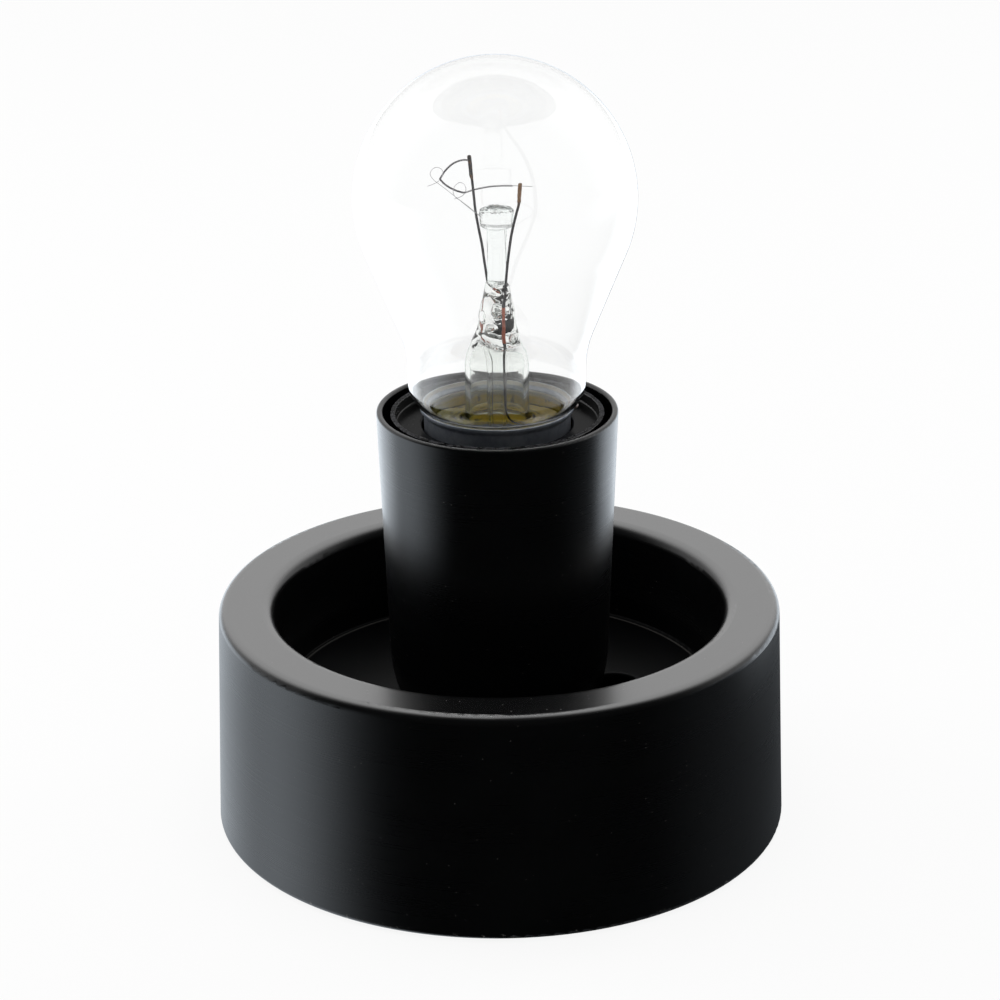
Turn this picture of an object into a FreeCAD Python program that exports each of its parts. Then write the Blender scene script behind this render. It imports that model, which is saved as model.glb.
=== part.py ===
import FreeCAD, Part
import math
import os

# Bare bulb table lamp: a turned bowl base, a tapered cup with the lamp holder in it, and a
# clear screw-in bulb. Millimetres, +Z up, origin on the table under the middle of the base.

V = FreeCAD.Vector
UP = V(0, 0, 1)

# ---- Base -----------------------------------------------------------------------------
BASE_HEIGHT = 43.3
FOOT_RADIUS = 53.85          # outside of the bowl at its lower edge
RIM_RADIUS = 52.45           # outside of the bowl at its rim
RIM_WIDTH = 10.1
RIM_OUTER_ROUND = 1.8
RIM_INNER_ROUND = 2.4
FOOT_ROUND = 1.0
WELL_TAPER = 1.45            # how much narrower the well is at its floor than at its rim
WELL_CORNER_ROUND = 0.4
FLOOR_TOP = 24.3
FLOOR_THICKNESS = 4.0
WALL_AT_FOOT = 10.05         # from the cavity to the outside of the bowl's lower edge
CAVITY_ROUND = 2.0

FLOOR_HOLE_X = 21.6          # the round hole beside the cup
FLOOR_HOLE_Y = 1.2
FLOOR_HOLE_RADIUS = 5.3
FLOOR_HOLE_ROUND = 0.7

FOOT_LIFT = 0.5              # the bowl's lower edge stands this far off the table
RING_THICKNESS = 1.6         # rubber ring that the lamp stands on
RING_WIDTH = 5.2
RING_INSET = 0.3             # from the edge of the plate
PLATE_THICKNESS = 1.5
PLATE_LEDGE = 2.4            # width of the ledge that the plate lies against
PLATE_GAP = 0.2              # between the plate's edge and its recess
PLATE_SCREW_INSET = 6.5      # from the cavity's wall to the screws
PLATE_SCREW_ANGLES = (30.0, 150.0, 270.0)
BOSS_RADIUS = 4.2

SCREW_RADIUS = 1.5           # M3, used for plate, clamp and terminal block
SCREW_LENGTH = 8.0
SCREW_HEAD_RADIUS = 2.75
SCREW_HEAD_HEIGHT = 1.2
SCREW_HOLE_GAP = 0.15
SCREW_HOLE_SPARE = 1.0       # depth of a screw hole past the screw's end
SLOT_WIDTH = 0.8
SLOT_DEPTH = 0.6

# ---- Cord entry -----------------------------------------------------------------------
INLET_HEIGHT = 10.5          # axis of the cord inlet above the table
INLET_RECESS = 2.2           # of the flat seat for the bush's flange, in the bowl's side
INLET_BACK_STEP = 0.1        # of the flat seat for the bush's collar, in the cavity's wall
BUSH_BORE_RADIUS = 3.2
BUSH_BARREL_RADIUS = 4.6
BUSH_FLANGE_RADIUS = 6.4
BUSH_FLANGE = 1.5
BUSH_FLANGE_ROUND = 0.6
BUSH_COLLAR = 1.1
BUSH_COLLAR_RISE = 0.9       # of the collar over the barrel
BUSH_MOUTH_ROUND = 0.3
BUSH_FIT = 0.05
BUSH_SEAT_GAP = 0.3          # round the flange in its seat

CLAMP_INSET = 9.0            # from the cavity's wall to the middle of the cord clamp
CLAMP_SCREW_SPACING = 15.0
CLAMP_BAR = (21.0, 6.0, 3.0)
CLAMP_GROOVE_RISE = 1.5
CLAMP_POST_RADIUS = 2.9
CLAMP_POST_LENGTH = 8.7

# ---- Terminal block and fixings under the floor ----------------------------------------
BLOCK_SIZE = (26.0, 15.0, 11.5)
BLOCK_FROM_CLAMP = 13.0
POLE_PITCH = 8.0
POLE_RISE = 4.2              # of the three tubes over the underside of the block
POLE_RADIUS = 2.5
POLE_BORE = 1.35
POLE_INSET = 0.5             # of each tube's ends in the block
POLE_SCREW_RADIUS = 1.4
POLE_SCREW_OFFSET = 4.2      # from the middle of the block to each screw
POLE_SCREW_HOLE = 2.0
POLE_SCREW_STAND = 1.2       # of each screw out of its tube
WIRE_GRIP_GAP = 0.1          # between a screw's end and the wire under it

NIPPLE_RADIUS = 5.0          # M10 x 1 threaded tube
NIPPLE_BORE = 3.6
NIPPLE_BELOW = 7.3           # how far it comes out under the floor
NIPPLE_ENGAGED = 8.5         # how far it goes into the holder's neck
NIPPLE_GAP = 0.05
WASHER_RADIUS = 9.0
WASHER_THICKNESS = 1.2
TAG_THICKNESS = 0.8
TAG_RADIUS = 7.5
TAG_REACH = 13.0
TAG_WIDTH = 4.0
TAG_BARREL = 4.0
TAG_BARREL_WALL = 0.45
NUT_HEIGHT = 4.0
NUT_ACROSS_FLATS = 14.0
NUT_BEVEL = 1.0

# ---- Lamp holder ------------------------------------------------------------------------
DOME_NECK_LENGTH = 6.05
DOME_NECK_RADIUS = 8.0
DOME_SLOPE_RISE = 9.0
DOME_SIDE = 9.5
DOME_WALL = 1.5
DOME_GAP = 0.1
SKIRT_RADIUS = 19.65
SKIRT_WALL = 0.95
SKIRT_LAP = 3.0              # of the skirt over the dome
SKIRT_RISE = 2.2             # of the skirt's upper edge over the collar
SKIRT_ROUND = 0.3
COLLAR_ROUND = 0.4
COLLAR_DEPTH = 1.5
COLLAR_DROP = 3.6            # from the rim of the bulb's cap to the inward collar round it
COLLAR_GAP = 0.4             # round the plain band of the cap
INSERT_FLANGE = 3.0
INSERT_SPIGOT = 4.0
INSERT_GAP = 0.85            # between the insert and the skirt
SEAT_RISE = 7.5              # of the threaded shell's seat over the dome
SHELL_CLEARANCE = 0.20       # between the threads of cap and shell, measured square to the axis
SHELL_WALL = 0.35
SHELL_TOP_GAP = 0.1          # under the plain band of the cap
SHELL_FLOOR_HOLE = 9.0
SHELL_SIDE_GAP = 0.2
CONTACT_POCKET_RADIUS = 8.5
CONTACT_POCKET_DEPTH = 4.0
LEAF_HALF_LENGTH = 2.0       # of the flat top of the centre contact's leaf
LEAF_GAP = 0.05
LEAF_STEP = 0.8
STRIP_THICKNESS = 0.5
STRIP_WIDTH = 4.0
STRIP_SLOT_GAP = 0.1
CENTRE_RISER_X = 7.0
SIDE_RISER_X = 10.8
TERMINAL_X = 9.4
TERMINAL_SIZE = (6.0, 7.0, 7.5)
TERMINAL_STRIP_INSET = 0.5
TERMINAL_BORE = 1.25
TERMINAL_DEPTH = 5.0
TERMINAL_SCREW_RADIUS = 1.4
TERMINAL_SCREW_HEAD = 1.9

# ---- Cup ------------------------------------------------------------------------------
CUP_WALL = 1.15
CUP_GAP = 1.4                # between the cup's mouth and the holder
CUP_OVER_SKIRT = 0.5         # of the cup's lip over the holder
CUP_TAPER = 1.87             # from the mouth to the knee
CUP_KNEE_RISE = 4.6          # height of the knee, where the side starts to curve in
CUP_KNEE_ROUND = 24.0
CUP_BOTTOM_STEP = 1.84       # from the knee to the edge of the cup's bottom
CUP_BOTTOM_ROUND = 0.6
CUP_LIP_ROUND = 0.45

# ---- Wires ------------------------------------------------------------------------------
WIRE_RADIUS = 0.95
WIRE_PITCH = 2.7             # between the two wires in the threaded tube
WIRE_LEAD_OUT = 2.4          # straight length of each wire outside the terminal block
WIRE_DROP = 4.6              # of the wires' turn below the end of the threaded tube
WIRE_DIP = 0.7
WIRE_SPREAD_RISE = 2.6       # where the wires part over the threaded tube
WIRE_END_GAP = 0.6

# ---- Bulb cap ---------------------------------------------------------------------------
THREAD_PITCH = 3.629         # round E27 thread
THREAD_MAJOR_RADIUS = 13.20
THREAD_DEPTH = 1.08
THREAD_LENGTH = 14.8
CAP_WALL = 0.3
CAP_BAND_STEP = 0.26         # of the plain band over the thread's crests
CAP_BAND_HEIGHT = 6.0
CAP_BEAD_STEP = 0.74         # of the rolled rim over the band
CAP_BEAD_DEPTH = 1.3
CAP_BEAD_EDGE = 0.55
INSULATOR_GAP = 0.22         # between the insulator and the thread's roots
INSULATOR_LAP = 0.7          # of the insulator over the cap's floor
INSULATOR_HEIGHT = 3.8
INSULATOR_TIP_RADIUS = 5.2
INSULATOR_RISE = 1.6         # inside the cap
INSULATOR_HOLE = 1.6
CAP_CONTACT_RADIUS = 4.8
CAP_CONTACT_HEIGHT = 1.4
CAP_CONTACT_DIP = 1.5        # of the contact's tip below the shell's seat
SIDE_SOLDER_RADIUS = 1.15
SIDE_SOLDER_ANGLE = -4.0

# ---- Bulb glass -------------------------------------------------------------------------
BULB_RADIUS = 25.5
BULB_RISE = 39.1             # of the globe's middle over the cap's rim
GLASS_WALL = 0.6
CONE_SLOPE = 21.8            # degrees off the axis, where the globe runs into the neck
NECK_RADIUS = 16.25
NECK_ROUND = 19.3
NECK_FILL = 0.9              # most of the neck's length that its round may take
SHOULDER_RISE = 1.7          # over the cap's rim
SHOULDER_SLOPE = 55.0        # degrees off the axis
SHOULDER_ROUND = 5.0
THROAT_ROUND = 1.0
THROAT_DEPTH = 5.0           # of the glass inside the cap
CEMENT_WIDTH = 0.56          # between the glass and the cap's band
CEMENT_DROP = 0.1            # of the cement's surface under the foot of the bead
CEMENT_DEPTH = 10.8
GLASS_GAP = 0.02             # between fused glass parts, too thin to see

# ---- Stem inside the bulb -----------------------------------------------------------------
FLARE_RADIUS = 5.85
FLARE_WALL = 0.9
FLARE_HEIGHT = 14.7          # of the stem's tube over the lower edge of the glass
FLARE_SKIRT_RISE = 1.4
FLARE_SKIRT_ROUND = 4.0
EXHAUST_RADIUS = 1.85
EXHAUST_WALL = 0.6
EXHAUST_CLEAR = 3.8          # of the sealed-off end over the cap's floor
EXHAUST_IN_PINCH = 1.9       # of the exhaust tube over the top of the stem's tube
PINCH_ANGLE = -64.0          # direction of the line through both leads, seen from above
PINCH_HEIGHT = 13.2          # over the top of the stem's tube
PINCH_FOOT = (1.0, 4.6, 4.4)     # rise over the stem's tube, half length, half thickness
PINCH_SECTIONS = ((10.1, 5.4, 4.0), (6.1, 4.7, 3.1), (2.4, 3.8, 2.2), (0.0, 3.3, 1.85))
ARBOR_RADIUS = 1.78
ARBOR_LENGTH = 11.0
BUTTON_RADIUS = 3.05
BUTTON_HEIGHT = 3.4
BUTTON_ROUND = 1.0

# ---- Leads, filament and supports ---------------------------------------------------------
SEAL_REACH = 2.8             # of each lead from the axis, in the pinch
SEAL_RADIUS = 0.22
SEAL_COVER = 3.3             # of the seal wires under the top of the pinch
SEAL_LENGTH = 6.8
LEAD_RADIUS = 0.24
LEAD_RISE = 5.5              # of the leads' ends over the globe's middle
LEAD_TIP_REACH = 10.4        # from the axis to the top of each lead
LEAD_STRAIGHT = 0.6          # of each lead out of the pinch
CRIMP_RADIUS = 0.42
CRIMP_LENGTH = 3.8
FILAMENT_RADIUS = 0.17
LEFT_HOOK = (-10.24, 0.3, -1.8)      # x and y, and height from the leads' ends
RIGHT_HOOK = (-5.6, -8.11, -2.0)
FILAMENT_SAG = 0.9
FILAMENT_DROP = 1.1          # from the leads' ends to the filament
SUPPORT_RADIUS = 0.08
SUPPORT_LOOP = 0.95
SUPPORT_LOOP_TURN = 285.0
SUPPORT_LOOP_PITCH = 0.35
SUPPORT_DEPTH = 1.7          # of the supports' roots under the top of the button
OUTER_LEAD_RADIUS = 0.2
SIDE_LEAD_DROP = 3.8         # of the side lead's turn under the glass
CENTRE_LEAD_RISE = 2.8       # of the centre lead's turn over the cap's floor

# ---- Worked out from the sizes above --------------------------------------------------------
CAVITY_ROOF = FLOOR_TOP - FLOOR_THICKNESS
CAVITY_RADIUS = FOOT_RADIUS - WALL_AT_FOOT
WELL_FLOOR_RADIUS = RIM_RADIUS - RIM_WIDTH - WELL_TAPER
PLATE_BOTTOM = RING_THICKNESS
PLATE_TOP = PLATE_BOTTOM + PLATE_THICKNESS
PLATE_RADIUS = CAVITY_RADIUS + PLATE_LEDGE
RECESS_RADIUS = PLATE_RADIUS + PLATE_GAP
PLATE_SCREW_CIRCLE = CAVITY_RADIUS - PLATE_SCREW_INSET
SIDE_SLOPE = (FOOT_RADIUS - RIM_RADIUS) / (BASE_HEIGHT - FOOT_LIFT)
INLET_FACE_Y = FOOT_RADIUS - SIDE_SLOPE * (INLET_HEIGHT - FOOT_LIFT) - INLET_RECESS
INLET_BACK_Y = CAVITY_RADIUS - INLET_BACK_STEP
CLAMP_Y = CAVITY_RADIUS - CLAMP_INSET
CLAMP_POST_BOTTOM = CAVITY_ROOF - CLAMP_POST_LENGTH
BLOCK_Y = CLAMP_Y - BLOCK_FROM_CLAMP
POLE_HEIGHT = CAVITY_ROOF - BLOCK_SIZE[2] + POLE_RISE
STEM_HOLE_RADIUS = NIPPLE_RADIUS + NIPPLE_GAP
NIPPLE_BOTTOM = CAVITY_ROOF - NIPPLE_BELOW
CUP_INNER_BOTTOM = FLOOR_TOP + CUP_WALL
NIPPLE_TOP = CUP_INNER_BOTTOM + NIPPLE_ENGAGED
DOME_NECK_TOP = CUP_INNER_BOTTOM + DOME_NECK_LENGTH
DOME_SHOULDER = DOME_NECK_TOP + DOME_SLOPE_RISE
DOME_TOP = DOME_SHOULDER + DOME_SIDE
SHELL_SEAT = DOME_TOP + SEAT_RISE
SKIRT_BOTTOM = DOME_TOP - SKIRT_LAP
SKIRT_BORE = SKIRT_RADIUS - SKIRT_WALL
DOME_RADIUS = SKIRT_BORE - DOME_GAP
INSERT_RADIUS = SKIRT_BORE - INSERT_GAP
INSERT_BOTTOM = DOME_TOP - INSERT_SPIGOT
POCKET_FLOOR = SHELL_SEAT - CONTACT_POCKET_DEPTH
STRIP_BOTTOM = INSERT_BOTTOM - STRIP_THICKNESS
TERMINAL_BOTTOM = STRIP_BOTTOM - TERMINAL_SIZE[2]
THREAD_MINOR_RADIUS = THREAD_MAJOR_RADIUS - THREAD_DEPTH
THREAD_RISE = THREAD_DEPTH / 2
THREAD_MEAN = THREAD_MINOR_RADIUS + THREAD_RISE
SHELL_MEAN = THREAD_MEAN + SHELL_CLEARANCE
INSERT_BORE = SHELL_MEAN + SHELL_WALL + THREAD_RISE + SHELL_SIDE_GAP
CAP_CONTACT_TIP = SHELL_SEAT - CAP_CONTACT_DIP
INSULATOR_BOTTOM = CAP_CONTACT_TIP + CAP_CONTACT_HEIGHT
CAP_THREAD_BOTTOM = INSULATOR_BOTTOM + INSULATOR_HEIGHT
CAP_BAND_BOTTOM = CAP_THREAD_BOTTOM + THREAD_LENGTH
CAP_RIM = CAP_BAND_BOTTOM + CAP_BAND_HEIGHT
CAP_BAND_RADIUS = THREAD_MAJOR_RADIUS + CAP_BAND_STEP
CAP_BEAD_RADIUS = CAP_BAND_RADIUS + CAP_BEAD_STEP
INSULATOR_TOP_RADIUS = THREAD_MINOR_RADIUS - CAP_WALL - INSULATOR_GAP
CAP_FLOOR_HOLE = INSULATOR_TOP_RADIUS - INSULATOR_LAP
SHELL_TOP = CAP_BAND_BOTTOM - SHELL_TOP_GAP
COLLAR_TOP = CAP_RIM - COLLAR_DROP
COLLAR_BOTTOM = COLLAR_TOP - COLLAR_DEPTH
SKIRT_TOP = COLLAR_TOP + SKIRT_RISE
CUP_TOP = SKIRT_TOP + CUP_OVER_SKIRT
CUP_MOUTH_RADIUS = SKIRT_RADIUS + CUP_GAP + CUP_WALL
CUP_KNEE_RADIUS = CUP_MOUTH_RADIUS - CUP_TAPER
CUP_KNEE_HEIGHT = FLOOR_TOP + CUP_KNEE_RISE
CUP_BOTTOM_RADIUS = CUP_KNEE_RADIUS - CUP_BOTTOM_STEP
BULB_CENTRE = CAP_RIM + BULB_RISE
BULB_TOP = BULB_CENTRE + BULB_RADIUS
SHOULDER_HEIGHT = CAP_RIM + SHOULDER_RISE
THROAT_RADIUS = CAP_BAND_RADIUS - CAP_WALL - CEMENT_WIDTH
THROAT_BOTTOM = CAP_RIM - THROAT_DEPTH
CEMENT_TOP = CAP_RIM - CAP_BEAD_DEPTH - CEMENT_DROP
FLARE_TOP = THROAT_BOTTOM + FLARE_HEIGHT
FLARE_SKIRT_TOP = THROAT_BOTTOM + FLARE_SKIRT_RISE
EXHAUST_BOTTOM = CAP_THREAD_BOTTOM + EXHAUST_CLEAR
EXHAUST_TOP = FLARE_TOP + EXHAUST_IN_PINCH
PINCH_TOP = FLARE_TOP + PINCH_HEIGHT
BUTTON_BOTTOM = PINCH_TOP + ARBOR_LENGTH
BUTTON_TOP = BUTTON_BOTTOM + BUTTON_HEIGHT
SUPPORT_ROOT_HEIGHT = BUTTON_TOP - SUPPORT_DEPTH
SEAL_TOP = PINCH_TOP - SEAL_COVER
SEAL_BOTTOM = SEAL_TOP - SEAL_LENGTH
LEAD_TOP = BULB_CENTRE + LEAD_RISE
SIDE_LEAD_LEVEL = THROAT_BOTTOM - SIDE_LEAD_DROP
CENTRE_LEAD_TURN = CAP_THREAD_BOTTOM + CENTRE_LEAD_RISE


# ---- Shape helpers --------------------------------------------------------------------------
def rounded_edges(points, closed):
    """Edges of an outline in the XZ plane. A point is (x, z) or (x, z, corner radius)."""
    count = len(points)
    spots = [V(point[0], 0, point[1]) for point in points]
    radii = [point[2] if len(point) > 2 else 0.0 for point in points]
    starts, ends, arcs = list(spots), list(spots), [None] * count
    for i in range(count):
        inside = closed or 0 < i < count - 1
        if radii[i] <= 0 or not inside:
            continue
        back = (spots[i - 1] - spots[i]).normalize()
        ahead = (spots[(i + 1) % count] - spots[i]).normalize()
        half_turn = (math.pi - back.getAngle(ahead)) / 2
        cut = radii[i] * math.tan(half_turn)
        starts[i] = spots[i] + back * cut
        ends[i] = spots[i] + ahead * cut
        centre = spots[i] + (back + ahead).normalize() * (radii[i] / math.cos(half_turn))
        middle = centre + (spots[i] - centre).normalize() * radii[i]
        arcs[i] = Part.Arc(starts[i], middle, ends[i]).toShape()
    edges = []
    for i in range(count):
        if arcs[i]:
            edges.append(arcs[i])
        if i < count - 1 or closed:
            following = starts[(i + 1) % count]
            if (following - ends[i]).Length > 1e-6:
                edges.append(Part.makeLine(ends[i], following))
    return edges


def turned(points, axis_point=V(0, 0, 0)):
    """A solid of revolution about the vertical axis from a closed outline."""
    return turned_edges(rounded_edges(points, True), axis_point)


def turned_edges(edges, axis_point=V(0, 0, 0)):
    face = Part.Face(Part.Wire(Part.__sortEdges__(edges)))
    solid = face.revolve(axis_point, UP, 360)
    return Part.makeSolid(solid) if solid.ShapeType == "Shell" else solid


def tube_between(outer, inner, low, high, x=0.0, y=0.0):
    tube = Part.makeCylinder(outer, high - low, V(x, y, low))
    return tube.cut(Part.makeCylinder(inner, high - low, V(x, y, low)))


def block(size, centre_x, centre_y, low):
    corner = V(centre_x - size[0] / 2, centre_y - size[1] / 2, low)
    return Part.makeBox(size[0], size[1], size[2], corner)


def along_y(shape, y, z):
    """Turn a shape made on the vertical axis so that its axis points to +Y from (0, y, z)."""
    turned_over = shape.copy()
    turned_over.rotate(V(0, 0, 0), V(1, 0, 0), -90)
    turned_over.translate(V(0, y, z))
    return turned_over


def slotted_screw(radius, length, head_radius, head_height, x, y, head_bottom):
    """A pan-head screw that points up, with its slot on the underside."""
    head = Part.makeCylinder(head_radius, head_height, V(x, y, head_bottom))
    slot = block((2 * head_radius, SLOT_WIDTH, SLOT_DEPTH), x, y, head_bottom)
    shank = Part.makeCylinder(radius, length, V(x, y, head_bottom + head_height))
    return head.cut(slot).fuse(shank).removeSplitter()


def round_wire_tube(points, radius, name=None):
    """A wire of straight runs and tangent arcs through the points, each arc as large as fits."""
    spots = [V(*point) for point in points]
    edges = []
    bends = []
    start = spots[0]
    for i in range(1, len(spots) - 1):
        back = spots[i - 1] - spots[i]
        ahead = spots[i + 1] - spots[i]
        half_turn = (math.pi - back.getAngle(ahead)) / 2
        cut = 0.45 * min(back.Length, ahead.Length)
        bend = cut / math.tan(half_turn)
        bends.append(bend)
        back.normalize()
        ahead.normalize()
        first = spots[i] + back * cut
        last = spots[i] + ahead * cut
        centre = spots[i] + (back + ahead).normalize() * (bend / math.cos(half_turn))
        middle = centre + (spots[i] - centre).normalize() * bend
        edges.append(Part.makeLine(start, first))
        edges.append(Part.Arc(first, middle, last).toShape())
        start = last
    edges.append(Part.makeLine(start, spots[-1]))
    tube = swept(edges, radius)
    if name:
        length = sum(edge.Length for edge in edges)
        fill = tube.Volume / (math.pi * radius ** 2 * length)
        print(name, "length", round(length, 1), "least bend", round(min(bends), 2), "fill", round(fill, 4))
    return tube


def swept(edges, radius):
    """A round tube along edges that already run smoothly into each other."""
    path = Part.Wire(edges)
    first = path.Edges[0]
    begin = first.valueAt(first.FirstParameter)
    heading = first.tangentAt(first.FirstParameter)
    section = Part.Wire(Part.Circle(begin, heading, radius).toShape())
    tube = path.makePipeShell([section], True, False)
    return tube if tube.ShapeType == "Solid" else Part.makeSolid(tube)


def screw_core(mean_radius, low, high):
    """A round-thread screw: a level circle whose centre climbs a fine right-hand helix."""
    helix = Part.makeHelix(THREAD_PITCH, high - low, THREAD_RISE)
    circle = Part.Wire(Part.Circle(V(THREAD_RISE, 0, 0), UP, mean_radius).toShape())
    sweep = Part.BRepOffsetAPI.MakePipeShell(Part.Wire(helix))
    sweep.setTrihedronMode(V(0, 0, 0), UP)
    sweep.add(circle)
    sweep.build()
    sweep.makeSolid()
    core = sweep.shape()
    core.rotate(V(0, 0, 0), UP, 360.0 * low / THREAD_PITCH)
    core.translate(V(0, 0, low))
    return core


def slice_between(low, high, reach=60.0):
    return Part.makeBox(2 * reach, 2 * reach, high - low, V(-reach, -reach, low))


def lead_direction(side):
    """Level unit vector from the axis to one lead: side 1 is the front right, -1 the back left."""
    angle = math.radians(PINCH_ANGLE)
    return V(math.cos(angle), math.sin(angle), 0) * side


# ---- Base pieces ----------------------------------------------------------------------------
def clamp_posts():
    posts = []
    for side in (-1, 1):
        x = side * CLAMP_SCREW_SPACING / 2
        height = CAVITY_ROOF - CLAMP_POST_BOTTOM
        posts.append(Part.makeCylinder(CLAMP_POST_RADIUS, height, V(x, CLAMP_Y, CLAMP_POST_BOTTOM)))
    return posts


def screw_places():
    places = []
    for angle in PLATE_SCREW_ANGLES:
        turn = math.radians(angle)
        places.append((PLATE_SCREW_CIRCLE * math.cos(turn), PLATE_SCREW_CIRCLE * math.sin(turn)))
    return places


def make_base_bowl():
    rim_inner = RIM_RADIUS - RIM_WIDTH
    bowl = turned([
        (STEM_HOLE_RADIUS, CAVITY_ROOF),
        (CAVITY_RADIUS, CAVITY_ROOF, CAVITY_ROUND),
        (CAVITY_RADIUS, PLATE_TOP),
        (RECESS_RADIUS, PLATE_TOP),
        (RECESS_RADIUS, FOOT_LIFT),
        (FOOT_RADIUS, FOOT_LIFT, FOOT_ROUND),
        (RIM_RADIUS, BASE_HEIGHT, RIM_OUTER_ROUND),
        (rim_inner, BASE_HEIGHT, RIM_INNER_ROUND),
        (WELL_FLOOR_RADIUS, FLOOR_TOP, WELL_CORNER_ROUND),
        (STEM_HOLE_RADIUS, FLOOR_TOP),
    ])
    floor_hole = turned([
        (0, CAVITY_ROOF - 1),
        (FLOOR_HOLE_RADIUS, CAVITY_ROOF - 1),
        (FLOOR_HOLE_RADIUS, FLOOR_TOP, FLOOR_HOLE_ROUND),
        (FLOOR_HOLE_RADIUS + 2 * FLOOR_HOLE_ROUND, FLOOR_TOP),
        (FLOOR_HOLE_RADIUS + 2 * FLOOR_HOLE_ROUND, FLOOR_TOP + 1),
        (0, FLOOR_TOP + 1),
    ])
    floor_hole.translate(V(FLOOR_HOLE_X, FLOOR_HOLE_Y, 0))
    bowl = bowl.cut(floor_hole)
    for x, y in screw_places():
        bowl = bowl.fuse(Part.makeCylinder(BOSS_RADIUS, CAVITY_ROOF - PLATE_TOP, V(x, y, PLATE_TOP)))
    for post in clamp_posts():
        bowl = bowl.fuse(post)
    screw_hole = SCREW_RADIUS
    hole_depth = SCREW_LENGTH + SCREW_HOLE_SPARE
    for x, y in screw_places():
        bowl = bowl.cut(Part.makeCylinder(screw_hole, hole_depth, V(x, y, PLATE_TOP)))
    for side in (-1, 1):
        x = side * CLAMP_SCREW_SPACING / 2
        bowl = bowl.cut(Part.makeCylinder(screw_hole, hole_depth, V(x, CLAMP_Y, CLAMP_POST_BOTTOM)))
    reach = FOOT_RADIUS + RIM_RADIUS - INLET_FACE_Y
    barrel_hole = Part.makeCylinder(BUSH_BARREL_RADIUS + BUSH_FIT, FOOT_RADIUS)
    flange_seat = Part.makeCylinder(BUSH_FLANGE_RADIUS + BUSH_SEAT_GAP, reach)
    collar_seat = Part.makeCylinder(BUSH_FLANGE_RADIUS + BUSH_SEAT_GAP, CLAMP_INSET / 2)
    bowl = bowl.cut(along_y(barrel_hole, INLET_BACK_Y - BUSH_COLLAR, INLET_HEIGHT))
    bowl = bowl.cut(along_y(flange_seat, INLET_FACE_Y, INLET_HEIGHT))
    bowl = bowl.cut(along_y(collar_seat, INLET_BACK_Y - CLAMP_INSET / 2, INLET_HEIGHT))
    return bowl.removeSplitter()


def make_base_plate():
    plate = Part.makeCylinder(PLATE_RADIUS, PLATE_THICKNESS, V(0, 0, PLATE_BOTTOM))
    for x, y in screw_places():
        hole = SCREW_RADIUS + SCREW_HOLE_GAP
        plate = plate.cut(Part.makeCylinder(hole, PLATE_THICKNESS, V(x, y, PLATE_BOTTOM)))
    return plate


def make_plate_screws():
    screws = []
    for x, y in screw_places():
        screws.append(slotted_screw(SCREW_RADIUS, SCREW_LENGTH, SCREW_HEAD_RADIUS, SCREW_HEAD_HEIGHT,
                                    x, y, PLATE_BOTTOM - SCREW_HEAD_HEIGHT))
    return Part.makeCompound(screws)


def make_foot_ring():
    outer = PLATE_RADIUS - RING_INSET
    return tube_between(outer, outer - RING_WIDTH, 0.0, RING_THICKNESS)


def make_cord_bush():
    length = INLET_FACE_Y - INLET_BACK_Y
    bush = turned([
        (BUSH_BORE_RADIUS, -BUSH_COLLAR, BUSH_MOUTH_ROUND),
        (BUSH_BARREL_RADIUS + BUSH_COLLAR_RISE, -BUSH_COLLAR, BUSH_MOUTH_ROUND),
        (BUSH_BARREL_RADIUS + BUSH_COLLAR_RISE, 0),
        (BUSH_BARREL_RADIUS, 0),
        (BUSH_BARREL_RADIUS, length),
        (BUSH_FLANGE_RADIUS, length),
        (BUSH_FLANGE_RADIUS, length + BUSH_FLANGE, BUSH_FLANGE_ROUND),
        (BUSH_BORE_RADIUS, length + BUSH_FLANGE, BUSH_MOUTH_ROUND),
    ])
    return along_y(bush, INLET_BACK_Y, INLET_HEIGHT)


def make_cord_clamp():
    low = CLAMP_POST_BOTTOM - CLAMP_BAR[2]
    bar = block(CLAMP_BAR, 0, CLAMP_Y, low)
    groove = Part.makeCylinder(BUSH_BORE_RADIUS, CLAMP_BAR[1])
    bar = bar.cut(along_y(groove, CLAMP_Y - CLAMP_BAR[1] / 2, CLAMP_POST_BOTTOM + CLAMP_GROOVE_RISE))
    for side in (-1, 1):
        x = side * CLAMP_SCREW_SPACING / 2
        bar = bar.cut(Part.makeCylinder(SCREW_RADIUS + SCREW_HOLE_GAP, CLAMP_BAR[2], V(x, CLAMP_Y, low)))
    return bar


def make_clamp_screws():
    head_bottom = CLAMP_POST_BOTTOM - CLAMP_BAR[2] - SCREW_HEAD_HEIGHT
    screws = []
    for side in (-1, 1):
        x = side * CLAMP_SCREW_SPACING / 2
        screws.append(slotted_screw(SCREW_RADIUS, SCREW_LENGTH, SCREW_HEAD_RADIUS, SCREW_HEAD_HEIGHT,
                                    x, CLAMP_Y, head_bottom))
    return Part.makeCompound(screws)


def pole_places():
    return [(-POLE_PITCH, BLOCK_Y), (0.0, BLOCK_Y), (POLE_PITCH, BLOCK_Y)]


def make_terminal_block():
    low = CAVITY_ROOF - BLOCK_SIZE[2]
    body = block(BLOCK_SIZE, 0, BLOCK_Y, low)
    for x, y in pole_places():
        pole = Part.makeCylinder(POLE_RADIUS + BUSH_FIT, BLOCK_SIZE[1])
        pole.rotate(V(0, 0, 0), V(1, 0, 0), -90)
        pole.translate(V(x, y - BLOCK_SIZE[1] / 2, POLE_HEIGHT))
        body = body.cut(pole)
        for side in (-1, 1):
            well = Part.makeCylinder(POLE_SCREW_HOLE, POLE_HEIGHT - low, V(x, y + side * POLE_SCREW_OFFSET, low))
            body = body.cut(well)
    return body


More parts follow.
